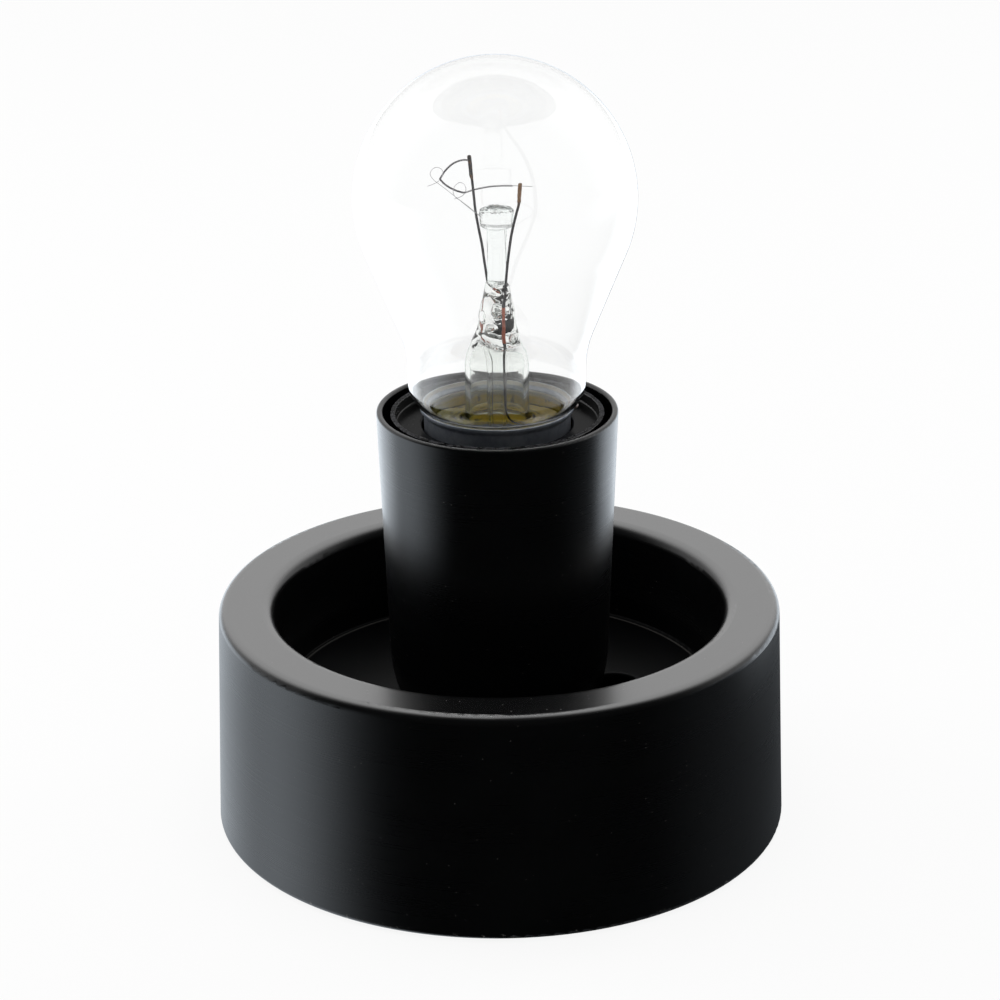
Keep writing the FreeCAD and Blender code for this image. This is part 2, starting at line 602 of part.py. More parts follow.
def make_terminal_tubes():
    tubes = []
    for x, y in pole_places():
        tube = tube_between(POLE_RADIUS, POLE_BORE, 0, BLOCK_SIZE[1] - 2 * POLE_INSET)
        tube = along_y(tube, y - BLOCK_SIZE[1] / 2 + POLE_INSET, POLE_HEIGHT)
        tube.translate(V(x, 0, 0))
        for side in (-1, 1):
            spot = V(x, y + side * POLE_SCREW_OFFSET, POLE_HEIGHT - POLE_RADIUS)
            tube = tube.cut(Part.makeCylinder(POLE_SCREW_RADIUS + BUSH_FIT, POLE_RADIUS, spot))
        tubes.append(tube)
    return Part.makeCompound(tubes)


def make_terminal_screws():
    screws = []
    length = POLE_RADIUS - WIRE_RADIUS + POLE_SCREW_STAND
    for x, y in pole_places():
        for side in (-1, 1):
            top = POLE_HEIGHT - WIRE_RADIUS - WIRE_GRIP_GAP
            spot = V(x, y + side * POLE_SCREW_OFFSET, top - length)
            screw = Part.makeCylinder(POLE_SCREW_RADIUS, length, spot)
            slot = block((2 * POLE_SCREW_RADIUS, SLOT_WIDTH, SLOT_DEPTH), spot.x, spot.y, spot.z)
            screws.append(screw.cut(slot))
    return Part.makeCompound(screws)


def make_threaded_tube():
    return tube_between(NIPPLE_RADIUS, NIPPLE_BORE, NIPPLE_BOTTOM, NIPPLE_TOP)


def make_floor_washer():
    return tube_between(WASHER_RADIUS, STEM_HOLE_RADIUS, CAVITY_ROOF - WASHER_THICKNESS, CAVITY_ROOF)


def tag_top():
    return CAVITY_ROOF - WASHER_THICKNESS


def make_earth_tag():
    low = tag_top() - TAG_THICKNESS
    ring = Part.makeCylinder(TAG_RADIUS, TAG_THICKNESS, V(0, 0, low))
    tail = Part.makeBox(TAG_REACH, TAG_WIDTH, TAG_THICKNESS, V(-TAG_REACH, -TAG_WIDTH / 2, low))
    barrel = Part.makeCylinder(WIRE_RADIUS + TAG_BARREL_WALL, TAG_BARREL, V(-TAG_REACH, 0, low - WIRE_RADIUS), V(1, 0, 0))
    tag = ring.fuse(tail).fuse(barrel)
    tag = tag.cut(Part.makeCylinder(STEM_HOLE_RADIUS, TAG_THICKNESS, V(0, 0, low)))
    bore = Part.makeCylinder(WIRE_RADIUS + BUSH_FIT, TAG_BARREL - TAG_BARREL_WALL, V(-TAG_REACH, 0, low - WIRE_RADIUS), V(1, 0, 0))
    return tag.cut(bore).removeSplitter()


def make_tube_nut():
    top = tag_top() - TAG_THICKNESS
    corner = NUT_ACROSS_FLATS / math.sqrt(3)
    hexagon = [V(corner * math.cos(math.radians(60 * i)), corner * math.sin(math.radians(60 * i)),
                 top - NUT_HEIGHT) for i in range(7)]
    nut = Part.Face(Part.makePolygon(hexagon)).extrude(V(0, 0, NUT_HEIGHT))
    bevel = turned([
        (0, top - NUT_HEIGHT),
        (NUT_ACROSS_FLATS / 2, top - NUT_HEIGHT),
        (corner + NUT_BEVEL, top - NUT_HEIGHT + NUT_BEVEL),
        (corner + NUT_BEVEL, top),
        (0, top),
    ])
    nut = nut.common(bevel)
    return nut.cut(Part.makeCylinder(STEM_HOLE_RADIUS, NUT_HEIGHT, V(0, 0, top - NUT_HEIGHT)))


# ---- Cup ------------------------------------------------------------------------------------
def make_socket_cup():
    knee_inner = CUP_KNEE_RADIUS - CUP_WALL
    return turned([
        (STEM_HOLE_RADIUS, FLOOR_TOP),
        (CUP_BOTTOM_RADIUS, FLOOR_TOP, CUP_BOTTOM_ROUND),
        (CUP_KNEE_RADIUS, CUP_KNEE_HEIGHT, CUP_KNEE_ROUND),
        (CUP_MOUTH_RADIUS, CUP_TOP, CUP_LIP_ROUND),
        (CUP_MOUTH_RADIUS - CUP_WALL, CUP_TOP, CUP_LIP_ROUND),
        (knee_inner, CUP_KNEE_HEIGHT, CUP_KNEE_ROUND - CUP_WALL),
        (CUP_BOTTOM_RADIUS - CUP_WALL, CUP_INNER_BOTTOM, CUP_BOTTOM_ROUND),
        (STEM_HOLE_RADIUS, CUP_INNER_BOTTOM),
    ])


# ---- Lamp holder ----------------------------------------------------------------------------
def make_holder_dome():
    inner = DOME_RADIUS - DOME_WALL
    return turned([
        (STEM_HOLE_RADIUS, CUP_INNER_BOTTOM),
        (DOME_NECK_RADIUS, CUP_INNER_BOTTOM),
        (DOME_NECK_RADIUS, DOME_NECK_TOP, 2.0),
        (DOME_RADIUS, DOME_SHOULDER, 4.0),
        (DOME_RADIUS, DOME_TOP),
        (inner, DOME_TOP),
        (inner, DOME_SHOULDER + DOME_WALL / 2, 3.0),
        (DOME_NECK_RADIUS - DOME_WALL / 2, DOME_NECK_TOP + DOME_WALL),
        (STEM_HOLE_RADIUS, DOME_NECK_TOP + DOME_WALL),
    ])


def make_holder_skirt():
    return turned([
        (SKIRT_BORE, SKIRT_BOTTOM),
        (SKIRT_RADIUS, SKIRT_BOTTOM, SKIRT_ROUND),
        (SKIRT_RADIUS, SKIRT_TOP, SKIRT_ROUND),
        (SKIRT_BORE, SKIRT_TOP, SKIRT_ROUND),
        (SKIRT_BORE, COLLAR_TOP, COLLAR_ROUND),
        (CAP_BAND_RADIUS + COLLAR_GAP, COLLAR_TOP, COLLAR_ROUND),
        (CAP_BAND_RADIUS + COLLAR_GAP, COLLAR_BOTTOM),
        (SKIRT_BORE, COLLAR_BOTTOM),
    ])


def strip_slot(x, high):
    width = STRIP_THICKNESS + 2 * STRIP_SLOT_GAP
    depth = STRIP_WIDTH + 2 * STRIP_SLOT_GAP
    return block((width, depth, high - INSERT_BOTTOM), x, 0, INSERT_BOTTOM)


def make_holder_insert():
    insert = turned([
        (0, INSERT_BOTTOM),
        (DOME_RADIUS - DOME_WALL - DOME_GAP, INSERT_BOTTOM),
        (DOME_RADIUS - DOME_WALL - DOME_GAP, DOME_TOP),
        (DOME_RADIUS, DOME_TOP),
        (DOME_RADIUS, DOME_TOP + INSERT_FLANGE),
        (INSERT_RADIUS, DOME_TOP + INSERT_FLANGE),
        (INSERT_RADIUS, COLLAR_BOTTOM),
        (INSERT_BORE, COLLAR_BOTTOM),
        (INSERT_BORE, SHELL_SEAT),
        (CONTACT_POCKET_RADIUS, SHELL_SEAT),
        (CONTACT_POCKET_RADIUS, POCKET_FLOOR),
        (0, POCKET_FLOOR),
    ])
    insert = insert.cut(strip_slot(CENTRE_RISER_X, POCKET_FLOOR))
    return insert.cut(strip_slot(-SIDE_RISER_X, SHELL_SEAT))


def make_screw_shell():
    """The holder's threaded liner. Its floor is flat and carries it on the insert."""
    outer = screw_core(SHELL_MEAN + SHELL_WALL, SHELL_SEAT, SHELL_TOP)
    bore = screw_core(SHELL_MEAN, SHELL_SEAT, SHELL_TOP).common(
        slice_between(SHELL_SEAT + SHELL_WALL, SHELL_TOP))
    hole = Part.makeCylinder(SHELL_FLOOR_HOLE, SHELL_WALL, V(0, 0, SHELL_SEAT))
    return outer.cut(bore).cut(hole)


def make_centre_contact():
    """A bent strip: a foot under the insert, a riser through it and a sprung leaf to the middle."""
    half = STRIP_WIDTH / 2
    leaf_top = CAP_CONTACT_TIP - LEAF_GAP
    leaf_end = -2 * LEAF_HALF_LENGTH
    foot_end = TERMINAL_X + TERMINAL_SIZE[0] / 2 - TERMINAL_STRIP_INSET
    riser = CENTRE_RISER_X - STRIP_THICKNESS / 2
    outline = [
        (foot_end, STRIP_BOTTOM),
        (foot_end, INSERT_BOTTOM),
        (riser + STRIP_THICKNESS, INSERT_BOTTOM),
        (riser + STRIP_THICKNESS, POCKET_FLOOR + LEAF_STEP),
        (LEAF_HALF_LENGTH, leaf_top, 4 * STRIP_THICKNESS),
        (-LEAF_HALF_LENGTH, leaf_top, 2 * STRIP_THICKNESS),
        (leaf_end, leaf_top - LEAF_STEP),
        (leaf_end, leaf_top - LEAF_STEP - STRIP_THICKNESS),
        (-LEAF_HALF_LENGTH, leaf_top - STRIP_THICKNESS, STRIP_THICKNESS),
        (LEAF_HALF_LENGTH, leaf_top - STRIP_THICKNESS, 3 * STRIP_THICKNESS),
        (riser, POCKET_FLOOR + LEAF_STEP - STRIP_THICKNESS / 2),
        (riser, STRIP_BOTTOM),
    ]
    face = Part.Face(Part.Wire(rounded_edges(outline, True)))
    strip = face.extrude(V(0, STRIP_WIDTH, 0))
    strip.translate(V(0, -half, 0))
    return strip


def make_shell_contact():
    half = STRIP_WIDTH / 2
    foot_end = -(TERMINAL_X + TERMINAL_SIZE[0] / 2 - TERMINAL_STRIP_INSET)
    riser = -SIDE_RISER_X - STRIP_THICKNESS / 2
    foot_start = -(TERMINAL_X - TERMINAL_SIZE[0] / 2)
    outline = [
        (foot_start, STRIP_BOTTOM),
        (foot_start, INSERT_BOTTOM),
        (riser + STRIP_THICKNESS, INSERT_BOTTOM),
        (riser + STRIP_THICKNESS, SHELL_SEAT),
        (riser, SHELL_SEAT),
        (riser, INSERT_BOTTOM),
        (foot_end, INSERT_BOTTOM),
        (foot_end, STRIP_BOTTOM),
    ]
    strip = Part.Face(Part.Wire(rounded_edges(outline, True))).extrude(V(0, STRIP_WIDTH, 0))
    strip.translate(V(0, -half, 0))
    return strip


def terminal_screw_height():
    return TERMINAL_BOTTOM + TERMINAL_DEPTH / 2


def make_holder_terminals():
    blocks = []
    for side in (-1, 1):
        x = side * TERMINAL_X
        body = block(TERMINAL_SIZE, x, 0, TERMINAL_BOTTOM)
        body = body.cut(Part.makeCylinder(TERMINAL_BORE, TERMINAL_DEPTH, V(x, 0, TERMINAL_BOTTOM)))
        reach = TERMINAL_SIZE[0] / 2
        hole = Part.makeCylinder(TERMINAL_SCREW_RADIUS + BUSH_FIT, reach,
                                 V(x, 0, terminal_screw_height()), V(side, 0, 0))
        blocks.append(body.cut(hole))
    return Part.makeCompound(blocks)


def make_holder_screws():
    screws = []
    for side in (-1, 1):
        x = side * TERMINAL_X
        start = x + side * (WIRE_RADIUS + WIRE_GRIP_GAP)
        head_at = x + side * (TERMINAL_SIZE[0] / 2)
        level = terminal_screw_height()
        shank = Part.makeCylinder(TERMINAL_SCREW_RADIUS, abs(head_at - start), V(start, 0, level), V(side, 0, 0))
        head = Part.makeCylinder(TERMINAL_SCREW_HEAD, SCREW_HEAD_HEIGHT, V(head_at, 0, level), V(side, 0, 0))
        slot_x = head_at + side * (SCREW_HEAD_HEIGHT - SLOT_DEPTH / 2)
        slot = block((SLOT_DEPTH, 2 * TERMINAL_SCREW_HEAD, SLOT_WIDTH), slot_x, 0, level - SLOT_WIDTH / 2)
        screws.append(shank.fuse(head.cut(slot)).removeSplitter())
    return Part.makeCompound(screws)


# ---- Wires in the base ------------------------------------------------------------------------
def supply_wire(pole_x, side, name):
    """From a pole of the terminal block, up the threaded tube, to one terminal of the holder."""
    inside = side * WIRE_PITCH / 2
    terminal = side * TERMINAL_X
    face = V(pole_x, BLOCK_Y - BLOCK_SIZE[1] / 2 - WIRE_LEAD_OUT, POLE_HEIGHT)
    turn = V(inside, 0, NIPPLE_BOTTOM - WIRE_DROP)
    first = face * 0.55 + turn * 0.45 - V(0, 0, WIRE_DIP)
    second = face * 0.22 + turn * 0.78 - V(0, 0, 2 * WIRE_DIP)
    points = [
        (pole_x, BLOCK_Y - POLE_SCREW_OFFSET, POLE_HEIGHT),
        tuple(face),
        tuple(first),
        tuple(second),
        tuple(turn),
        (inside, 0, NIPPLE_TOP + WIRE_SPREAD_RISE - 1.6),
        ((inside + terminal) / 2, 0, NIPPLE_TOP + WIRE_SPREAD_RISE),
        (terminal, 0, TERMINAL_BOTTOM - 1.2),
        (terminal, 0, TERMINAL_BOTTOM + TERMINAL_DEPTH - WIRE_END_GAP),
    ]
    return round_wire_tube(points, WIRE_RADIUS, name)


def make_live_wire():
    return supply_wire(POLE_PITCH, 1, "live wire")


def make_neutral_wire():
    return supply_wire(0.0, -1, "neutral wire")


def make_earth_wire():
    level = tag_top() - TAG_THICKNESS - WIRE_RADIUS
    block_face = BLOCK_Y - BLOCK_SIZE[1] / 2
    return round_wire_tube([
        (-TAG_REACH + 3.4, 0, level),
        (-TAG_REACH - 3.0, 0, level),
        (-TAG_REACH - 5.0, 0.36 * block_face, level - 2.4),
        (-TAG_REACH + 0.6, 0.82 * block_face, POLE_HEIGHT + 0.4),
        (-POLE_PITCH, block_face - 1.3, POLE_HEIGHT),
        (-POLE_PITCH, BLOCK_Y - POLE_SCREW_OFFSET, POLE_HEIGHT),
    ], WIRE_RADIUS, "earth wire")


# ---- Bulb cap -----------------------------------------------------------------------------------
def make_cap_shell():
    """Rolled aluminium cap: a beaded rim, a plain band, the round thread and an open floor."""
    inner = CAP_BAND_RADIUS - CAP_WALL
    band = turned([
        (CAP_FLOOR_HOLE, CAP_BAND_BOTTOM),
        (CAP_BAND_RADIUS, CAP_BAND_BOTTOM, CAP_WALL * 0.9),
        (CAP_BAND_RADIUS, CAP_RIM - CAP_BEAD_DEPTH, 0.5),
        (CAP_BEAD_RADIUS, CAP_RIM - CAP_BEAD_EDGE, 0.3),
        (CAP_BEAD_RADIUS, CAP_RIM, 0.1),
        (CAP_BEAD_RADIUS - CAP_WALL, CAP_RIM, 0.1),
        (inner, CAP_RIM - 2 * CAP_BEAD_EDGE, 0.3),
        (inner, CAP_BAND_BOTTOM + CAP_WALL),
        (CAP_FLOOR_HOLE, CAP_BAND_BOTTOM + CAP_WALL),
    ])
    outer = screw_core(THREAD_MEAN, CAP_THREAD_BOTTOM, CAP_BAND_BOTTOM)
    bore = screw_core(THREAD_MEAN - CAP_WALL, CAP_THREAD_BOTTOM, CAP_BAND_BOTTOM + CAP_WALL)
    floor_hole = Part.makeCylinder(CAP_FLOOR_HOLE, CAP_WALL, V(0, 0, CAP_THREAD_BOTTOM))
    above_floor = bore.common(slice_between(CAP_THREAD_BOTTOM + CAP_WALL, CAP_BAND_BOTTOM + CAP_WALL))
    threaded = outer.cut(above_floor).cut(floor_hole)
    return threaded.fuse(band.cut(above_floor)).removeSplitter()


def make_cap_insulator():
    """Moulded glass bead that closes the cap's floor and carries the centre contact."""
    low = INSULATOR_BOTTOM
    neck = CAP_FLOOR_HOLE - GLASS_GAP
    return turned([
        (INSULATOR_HOLE, low),
        (INSULATOR_TIP_RADIUS, low, 0.4),
        (INSULATOR_TOP_RADIUS - 0.5, CAP_THREAD_BOTTOM),
        (neck, CAP_THREAD_BOTTOM),
        (neck, CAP_THREAD_BOTTOM + CAP_WALL),
        (INSULATOR_TOP_RADIUS - 0.3, CAP_THREAD_BOTTOM + CAP_WALL),
        (INSULATOR_TOP_RADIUS - 0.6, CAP_THREAD_BOTTOM + CAP_WALL + INSULATOR_RISE, 0.4),
        (INSULATOR_HOLE, CAP_THREAD_BOTTOM - 0.6),
    ])


def make_cap_contact():
    """Round brass eyelet with its drop of solder."""
    return turned([
        (0, CAP_CONTACT_TIP),
        (2.2, CAP_CONTACT_TIP, 0.6),
        (CAP_CONTACT_RADIUS, INSULATOR_BOTTOM - 0.6, 0.3),
        (CAP_CONTACT_RADIUS, INSULATOR_BOTTOM, 0.1),
        (INSULATOR_HOLE - 0.1, INSULATOR_BOTTOM),
        (INSULATOR_HOLE - 0.1, INSULATOR_BOTTOM + 0.8),
        (0, INSULATOR_BOTTOM + 0.8),
    ])


def solder_spot():
    turn = math.radians(SIDE_SOLDER_ANGLE)
    return V(math.cos(turn), math.sin(turn), 0)


def make_side_solder():
    """The drop of solder that joins the side lead to the cap's rim."""
    spot = solder_spot() * (CAP_BEAD_RADIUS - 0.35)
    drop = Part.makeSphere(SIDE_SOLDER_RADIUS, V(spot.x, spot.y, CAP_RIM + 0.15))
    drop = drop.cut(make_cap_shell())
    envelope = turned_edges(envelope_edges(0.0) + [
        Part.makeLine(V(THROAT_RADIUS, 0, THROAT_BOTTOM), V(0, 0, THROAT_BOTTOM)),
        Part.makeLine(V(0, 0, THROAT_BOTTOM), V(0, 0, BULB_TOP)),
    ])
    drop = drop.cut(envelope).cut(Part.makeCylinder(CAP_BAND_RADIUS, 3.0, V(0, 0, CAP_RIM - 3.0)))
    return max(drop.Solids, key=lambda solid: solid.Volume)


def make_basing_cement():
    """Brown cement between the cap and the glass, running in under the sealed edge."""
    outer = CAP_BAND_RADIUS - CAP_WALL - GLASS_GAP
    throat = THROAT_RADIUS + GLASS_GAP
    thread_side = THREAD_MINOR_RADIUS - CAP_WALL - 0.56
    low = CEMENT_TOP - CEMENT_DEPTH + 1.4
    ring = turned([
        (FLARE_RADIUS + 0.55, low),
        (thread_side, low),
        (thread_side, CAP_BAND_BOTTOM + CAP_WALL + GLASS_GAP),
        (outer, CAP_BAND_BOTTOM + CAP_WALL + GLASS_GAP),
        (outer, CEMENT_TOP),
        (throat, CEMENT_TOP),
        (throat, THROAT_BOTTOM - GLASS_GAP),
        (throat - 3.22, THROAT_BOTTOM - GLASS_GAP, 0.8),
        (throat - 4.42, CAP_BAND_BOTTOM - 1.2, 1.0),
        (FLARE_RADIUS + 0.55, CAP_BAND_BOTTOM - 1.8),
    ])
    channel = round_wire_tube(side_lead_points(), OUTER_LEAD_RADIUS + GLASS_GAP)
    return ring.cut(channel)


# ---- Bulb glass -----------------------------------------------------------------------------------
def envelope_edges(inset):
    """Outline of the bulb from its crown to its lower end, moved in by the given amount."""
    slope = math.radians(CONE_SLOPE)
    turn = math.radians(SHOULDER_SLOPE)
    globe = BULB_RADIUS - inset
    joint = V(globe * math.cos(slope), 0, BULB_CENTRE - globe * math.sin(slope))
    crown = V(0, 0, BULB_CENTRE + globe)
    half_way = (math.pi / 2 - slope) / 2
    middle = V(globe * math.cos(half_way), 0, BULB_CENTRE + globe * math.sin(half_way))
    neck = NECK_RADIUS - inset
    neck_corner = joint.z - (joint.x - neck) / math.tan(slope)
    lift = inset * math.tan(turn / 2)
    shoulder_cut = (SHOULDER_ROUND - inset) * math.tan(turn / 2)
    room = neck_corner - SHOULDER_HEIGHT - lift - shoulder_cut
    neck_round = min(NECK_ROUND + inset, NECK_FILL * room / math.tan(slope / 2))
    throat_corner = SHOULDER_HEIGHT - (NECK_RADIUS - THROAT_RADIUS) / math.tan(turn)
    globe_arc = Part.Arc(crown, middle, joint).toShape()
    return [globe_arc] + rounded_edges([
        (joint.x, joint.z),
        (neck, neck_corner, neck_round),
        (neck, SHOULDER_HEIGHT + lift, SHOULDER_ROUND - inset),
        (THROAT_RADIUS - inset, throat_corner + lift, THROAT_ROUND + inset),
        (THROAT_RADIUS - inset, THROAT_BOTTOM),
    ], False)


def make_bulb_glass():
    edges = envelope_edges(0.0) + envelope_edges(GLASS_WALL)
    edges.append(Part.makeLine(V(THROAT_RADIUS, 0, THROAT_BOTTOM), V(THROAT_RADIUS - GLASS_WALL, 0, THROAT_BOTTOM)))
    edges.append(Part.makeLine(V(0, 0, BULB_TOP), V(0, 0, BULB_TOP - GLASS_WALL)))
    return turned_edges(edges)


def pinch_section(height, along, across):
    """One level oval of the pinch, its long way through both leads."""
    oval = Part.Ellipse(V(0, 0, height), along, across).toShape()
    oval.rotate(V(0, 0, height), UP, PINCH_ANGLE)
    return Part.Wire(oval)


def seal_holes():
    """Room in the glass for the three lengths of both leads."""
    holes = []
    for side, outer_points in ((-1, centre_lead_points()), (1, side_lead_points())):
        spot = lead_direction(side) * SEAL_REACH
        holes.append(round_wire_tube(inner_lead_points(side), LEAD_RADIUS + GLASS_GAP))
        holes.append(Part.makeCylinder(SEAL_RADIUS + GLASS_GAP, SEAL_TOP - SEAL_BOTTOM,
                                       V(spot.x, spot.y, SEAL_BOTTOM)))
        holes.append(round_wire_tube(outer_points[:3], OUTER_LEAD_RADIUS + GLASS_GAP))
    return holes


def make_stem_flare():
    """The glass stem: a trumpet sealed to the neck, its tube, and the pinch over the tube."""
    skirt = THROAT_RADIUS - GLASS_WALL - GLASS_GAP
    outside = [
        (FLARE_RADIUS - FLARE_WALL, THROAT_BOTTOM, FLARE_SKIRT_ROUND),
        (FLARE_RADIUS - FLARE_WALL, FLARE_TOP - 1.6),
        (EXHAUST_RADIUS + GLASS_GAP, EXHAUST_TOP),
        (0, EXHAUST_TOP),
        (0, FLARE_TOP + 2.8),
        (3.6, FLARE_TOP + 2.8),
        (FLARE_RADIUS, FLARE_TOP, 2.0),
        (FLARE_RADIUS, FLARE_SKIRT_TOP, FLARE_SKIRT_ROUND - FLARE_WALL),
        (skirt, FLARE_SKIRT_TOP - 0.5),
        (skirt, THROAT_BOTTOM),
    ]
    trumpet = turned(outside)
    rise, along, across = PINCH_FOOT
    sections = [pinch_section(FLARE_TOP + rise, along, across)]
    sections += [pinch_section(PINCH_TOP - depth, along, across) for depth, along, across in PINCH_SECTIONS]
    pinch = Part.makeLoft(sections, True, False)
    pinch = pinch.cut(Part.makeCylinder(EXHAUST_RADIUS + GLASS_GAP, 10.0, V(0, 0, EXHAUST_TOP - 10.0)))
    stem = trumpet.fuse(pinch)
    for hole in seal_holes():
        stem = stem.cut(hole)
    return stem


def make_exhaust_tube():
    """Drawn glass tube through which the bulb is emptied, melted shut at its lower end."""
    return turned([
        (0, EXHAUST_BOTTOM),
        (EXHAUST_RADIUS * 0.5, EXHAUST_BOTTOM, 0.4),
        (EXHAUST_RADIUS, EXHAUST_BOTTOM + 2.4, 1.0),
        (EXHAUST_RADIUS, EXHAUST_TOP),
        (EXHAUST_RADIUS - EXHAUST_WALL, EXHAUST_TOP),
        (EXHAUST_RADIUS - EXHAUST_WALL, EXHAUST_BOTTOM + 3.2),
        (0, EXHAUST_BOTTOM + 1.6),
    ])


def make_arbor_rod():
    """Solid glass rod over the pinch, with the button that the filament supports are set in."""
    return turned([
        (0, PINCH_TOP),
        (ARBOR_RADIUS, PINCH_TOP),
        (ARBOR_RADIUS, BUTTON_BOTTOM, 0.6),
        (BUTTON_RADIUS, BUTTON_BOTTOM + 1.2, BUTTON_ROUND),
        (BUTTON_RADIUS - 0.1, BUTTON_TOP, BUTTON_ROUND),
        (0, BUTTON_TOP),
    ])


# ---- Leads and filament ------------------------------------------------------------------------------
def lead_tip(side):
    tip = lead_direction(side) * LEAD_TIP_REACH
    return V(tip.x, tip.y, LEAD_TOP)


def lead_foot(side):
    foot = lead_direction(side) * SEAL_REACH
    return V(foot.x, foot.y, PINCH_TOP)


def inner_lead_points(side):
    """Straight up out of the pinch, then out to the side."""
    foot = lead_foot(side)
    return [(foot.x, foot.y, SEAL_TOP), (foot.x, foot.y, PINCH_TOP + LEAD_STRAIGHT), tuple(lead_tip(side))]


def lead_wire(side):
    """Inner lead from the pinch to its flattened end, which is crimped over the filament."""
    points = inner_lead_points(side)
    tip = V(*points[-1])
    rise = (tip - V(*points[-2])).normalize()
    wire = round_wire_tube(points, LEAD_RADIUS)
    crimp = Part.makeCylinder(CRIMP_RADIUS, CRIMP_LENGTH, tip - rise * CRIMP_LENGTH, rise)
    return wire.fuse(crimp).removeSplitter()


def make_left_lead():
    return lead_wire(-1)


def make_right_lead():
    return lead_wire(1)


def make_seal_wires():
    """Copper-clad wires that the glass of the pinch grips."""
    wires = []
    for side in (-1, 1):
        spot = lead_direction(side) * SEAL_REACH
        wires.append(Part.makeCylinder(SEAL_RADIUS, SEAL_TOP - SEAL_BOTTOM, V(spot.x, spot.y, SEAL_BOTTOM)))
    return Part.makeCompound(wires)


def side_lead_points():
    """Way of the outer lead from the pinch to the cap's rim."""
    start = lead_direction(1) * SEAL_REACH
    outward = solder_spot()
    gap_middle = (THROAT_RADIUS + CAP_BAND_RADIUS - CAP_WALL) / 2
    low = outward * (FLARE_RADIUS + 1.4)
    high = outward * gap_middle
    return [
        (start.x, start.y, SEAL_BOTTOM),
        (start.x, start.y, FLARE_TOP - 1.0),
        (start.x + 0.3, start.y + 0.3, THROAT_BOTTOM + 2.0),
        (low.x, low.y, SIDE_LEAD_LEVEL),
        (high.x, high.y, SIDE_LEAD_LEVEL + 2.3),
        (high.x, high.y, CEMENT_TOP - CEMENT_DROP),
    ]


def make_side_lead():
    return round_wire_tube(side_lead_points(), OUTER_LEAD_RADIUS)


def centre_lead_points():
    """Way of the outer lead from the pinch to the middle of the cap's floor."""
    start = lead_direction(-1) * SEAL_REACH
    return [
        (start.x, start.y, SEAL_BOTTOM),
        (start.x, start.y, FLARE_TOP - 1.0),
        (start.x - 0.4, start.y + 0.5, THROAT_BOTTOM),
        (start.x * 1.2, start.y * 1.2, CENTRE_LEAD_TURN),
        (0, 0, CAP_THREAD_BOTTOM + 0.8),
        (0, 0, INSULATOR_BOTTOM + 0.9),
    ]


def make_centre_lead():
    return round_wire_tube(centre_lead_points(), OUTER_LEAD_RADIUS)


def bowed_span(start, end, rise):
    """One length of filament, bowed by the given height at its middle."""
    middle = (start + end) * 0.5 + V(0, 0, rise)
    return swept([Part.Arc(start, middle, end).toShape()], FILAMENT_RADIUS)


def filament_ends():
    """Where the filament leaves the two crimps, beside each lead's end."""
    ends = []
    for side in (-1, 1):
        tip = lead_tip(side)
        inward = V(-1, 0, 0)
        ends.append(tip + inward * (CRIMP_RADIUS + GLASS_GAP) - V(0, 0, FILAMENT_DROP))
    return ends


def hook_place(hook):
    return V(hook[0], hook[1], LEAD_TOP + hook[2])


def make_filament():
    left, right = filament_ends()
    first, second = hook_place(LEFT_HOOK), hook_place(RIGHT_HOOK)
    spans = [
        bowed_span(left, first, FILAMENT_SAG),
        bowed_span(first, second, -FILAMENT_SAG * 0.4),
        bowed_span(second, right, FILAMENT_SAG * 0.6),
    ]
    joints = [Part.makeSphere(FILAMENT_RADIUS * 1.02, spot) for spot in (first, second)]
    filament = spans[0]
    for piece in spans[1:] + joints:
        filament = filament.fuse(piece)
    return filament


def support_wire(hook):
    """Fine wire from the button to an open loop that the filament hangs in."""
    hook = hook_place(hook)
    outward = V(hook.x, hook.y, 0).normalize()
    root = outward * (BUTTON_RADIUS + GLASS_GAP)
    root.z = SUPPORT_ROOT_HEIGHT
    gap = SUPPORT_LOOP + SUPPORT_RADIUS + FILAMENT_RADIUS
    under = hook - V(0, 0, gap)
    run = Part.makeLine(root, under)
    heading = (under - root).normalize()
    side_way = heading.cross(UP).normalize()
    up_way = side_way.cross(heading).normalize()
    loop_centre = under + up_way * gap
    sweep_to = math.radians(SUPPORT_LOOP_TURN)
    angles = (0.0, sweep_to / 2, sweep_to)
    spots = [loop_centre - up_way * (gap * math.cos(angle)) + heading * (gap * math.sin(angle))
             + side_way * (SUPPORT_LOOP_PITCH * angle / sweep_to) for angle in angles]
    loop = Part.Arc(spots[0], spots[1], spots[2]).toShape()
    return swept([run], SUPPORT_RADIUS).fuse(swept([loop], SUPPORT_RADIUS))


def make_filament_supports():
    return Part.makeCompound([support_wire(LEFT_HOOK), support_wire(RIGHT_HOOK)])


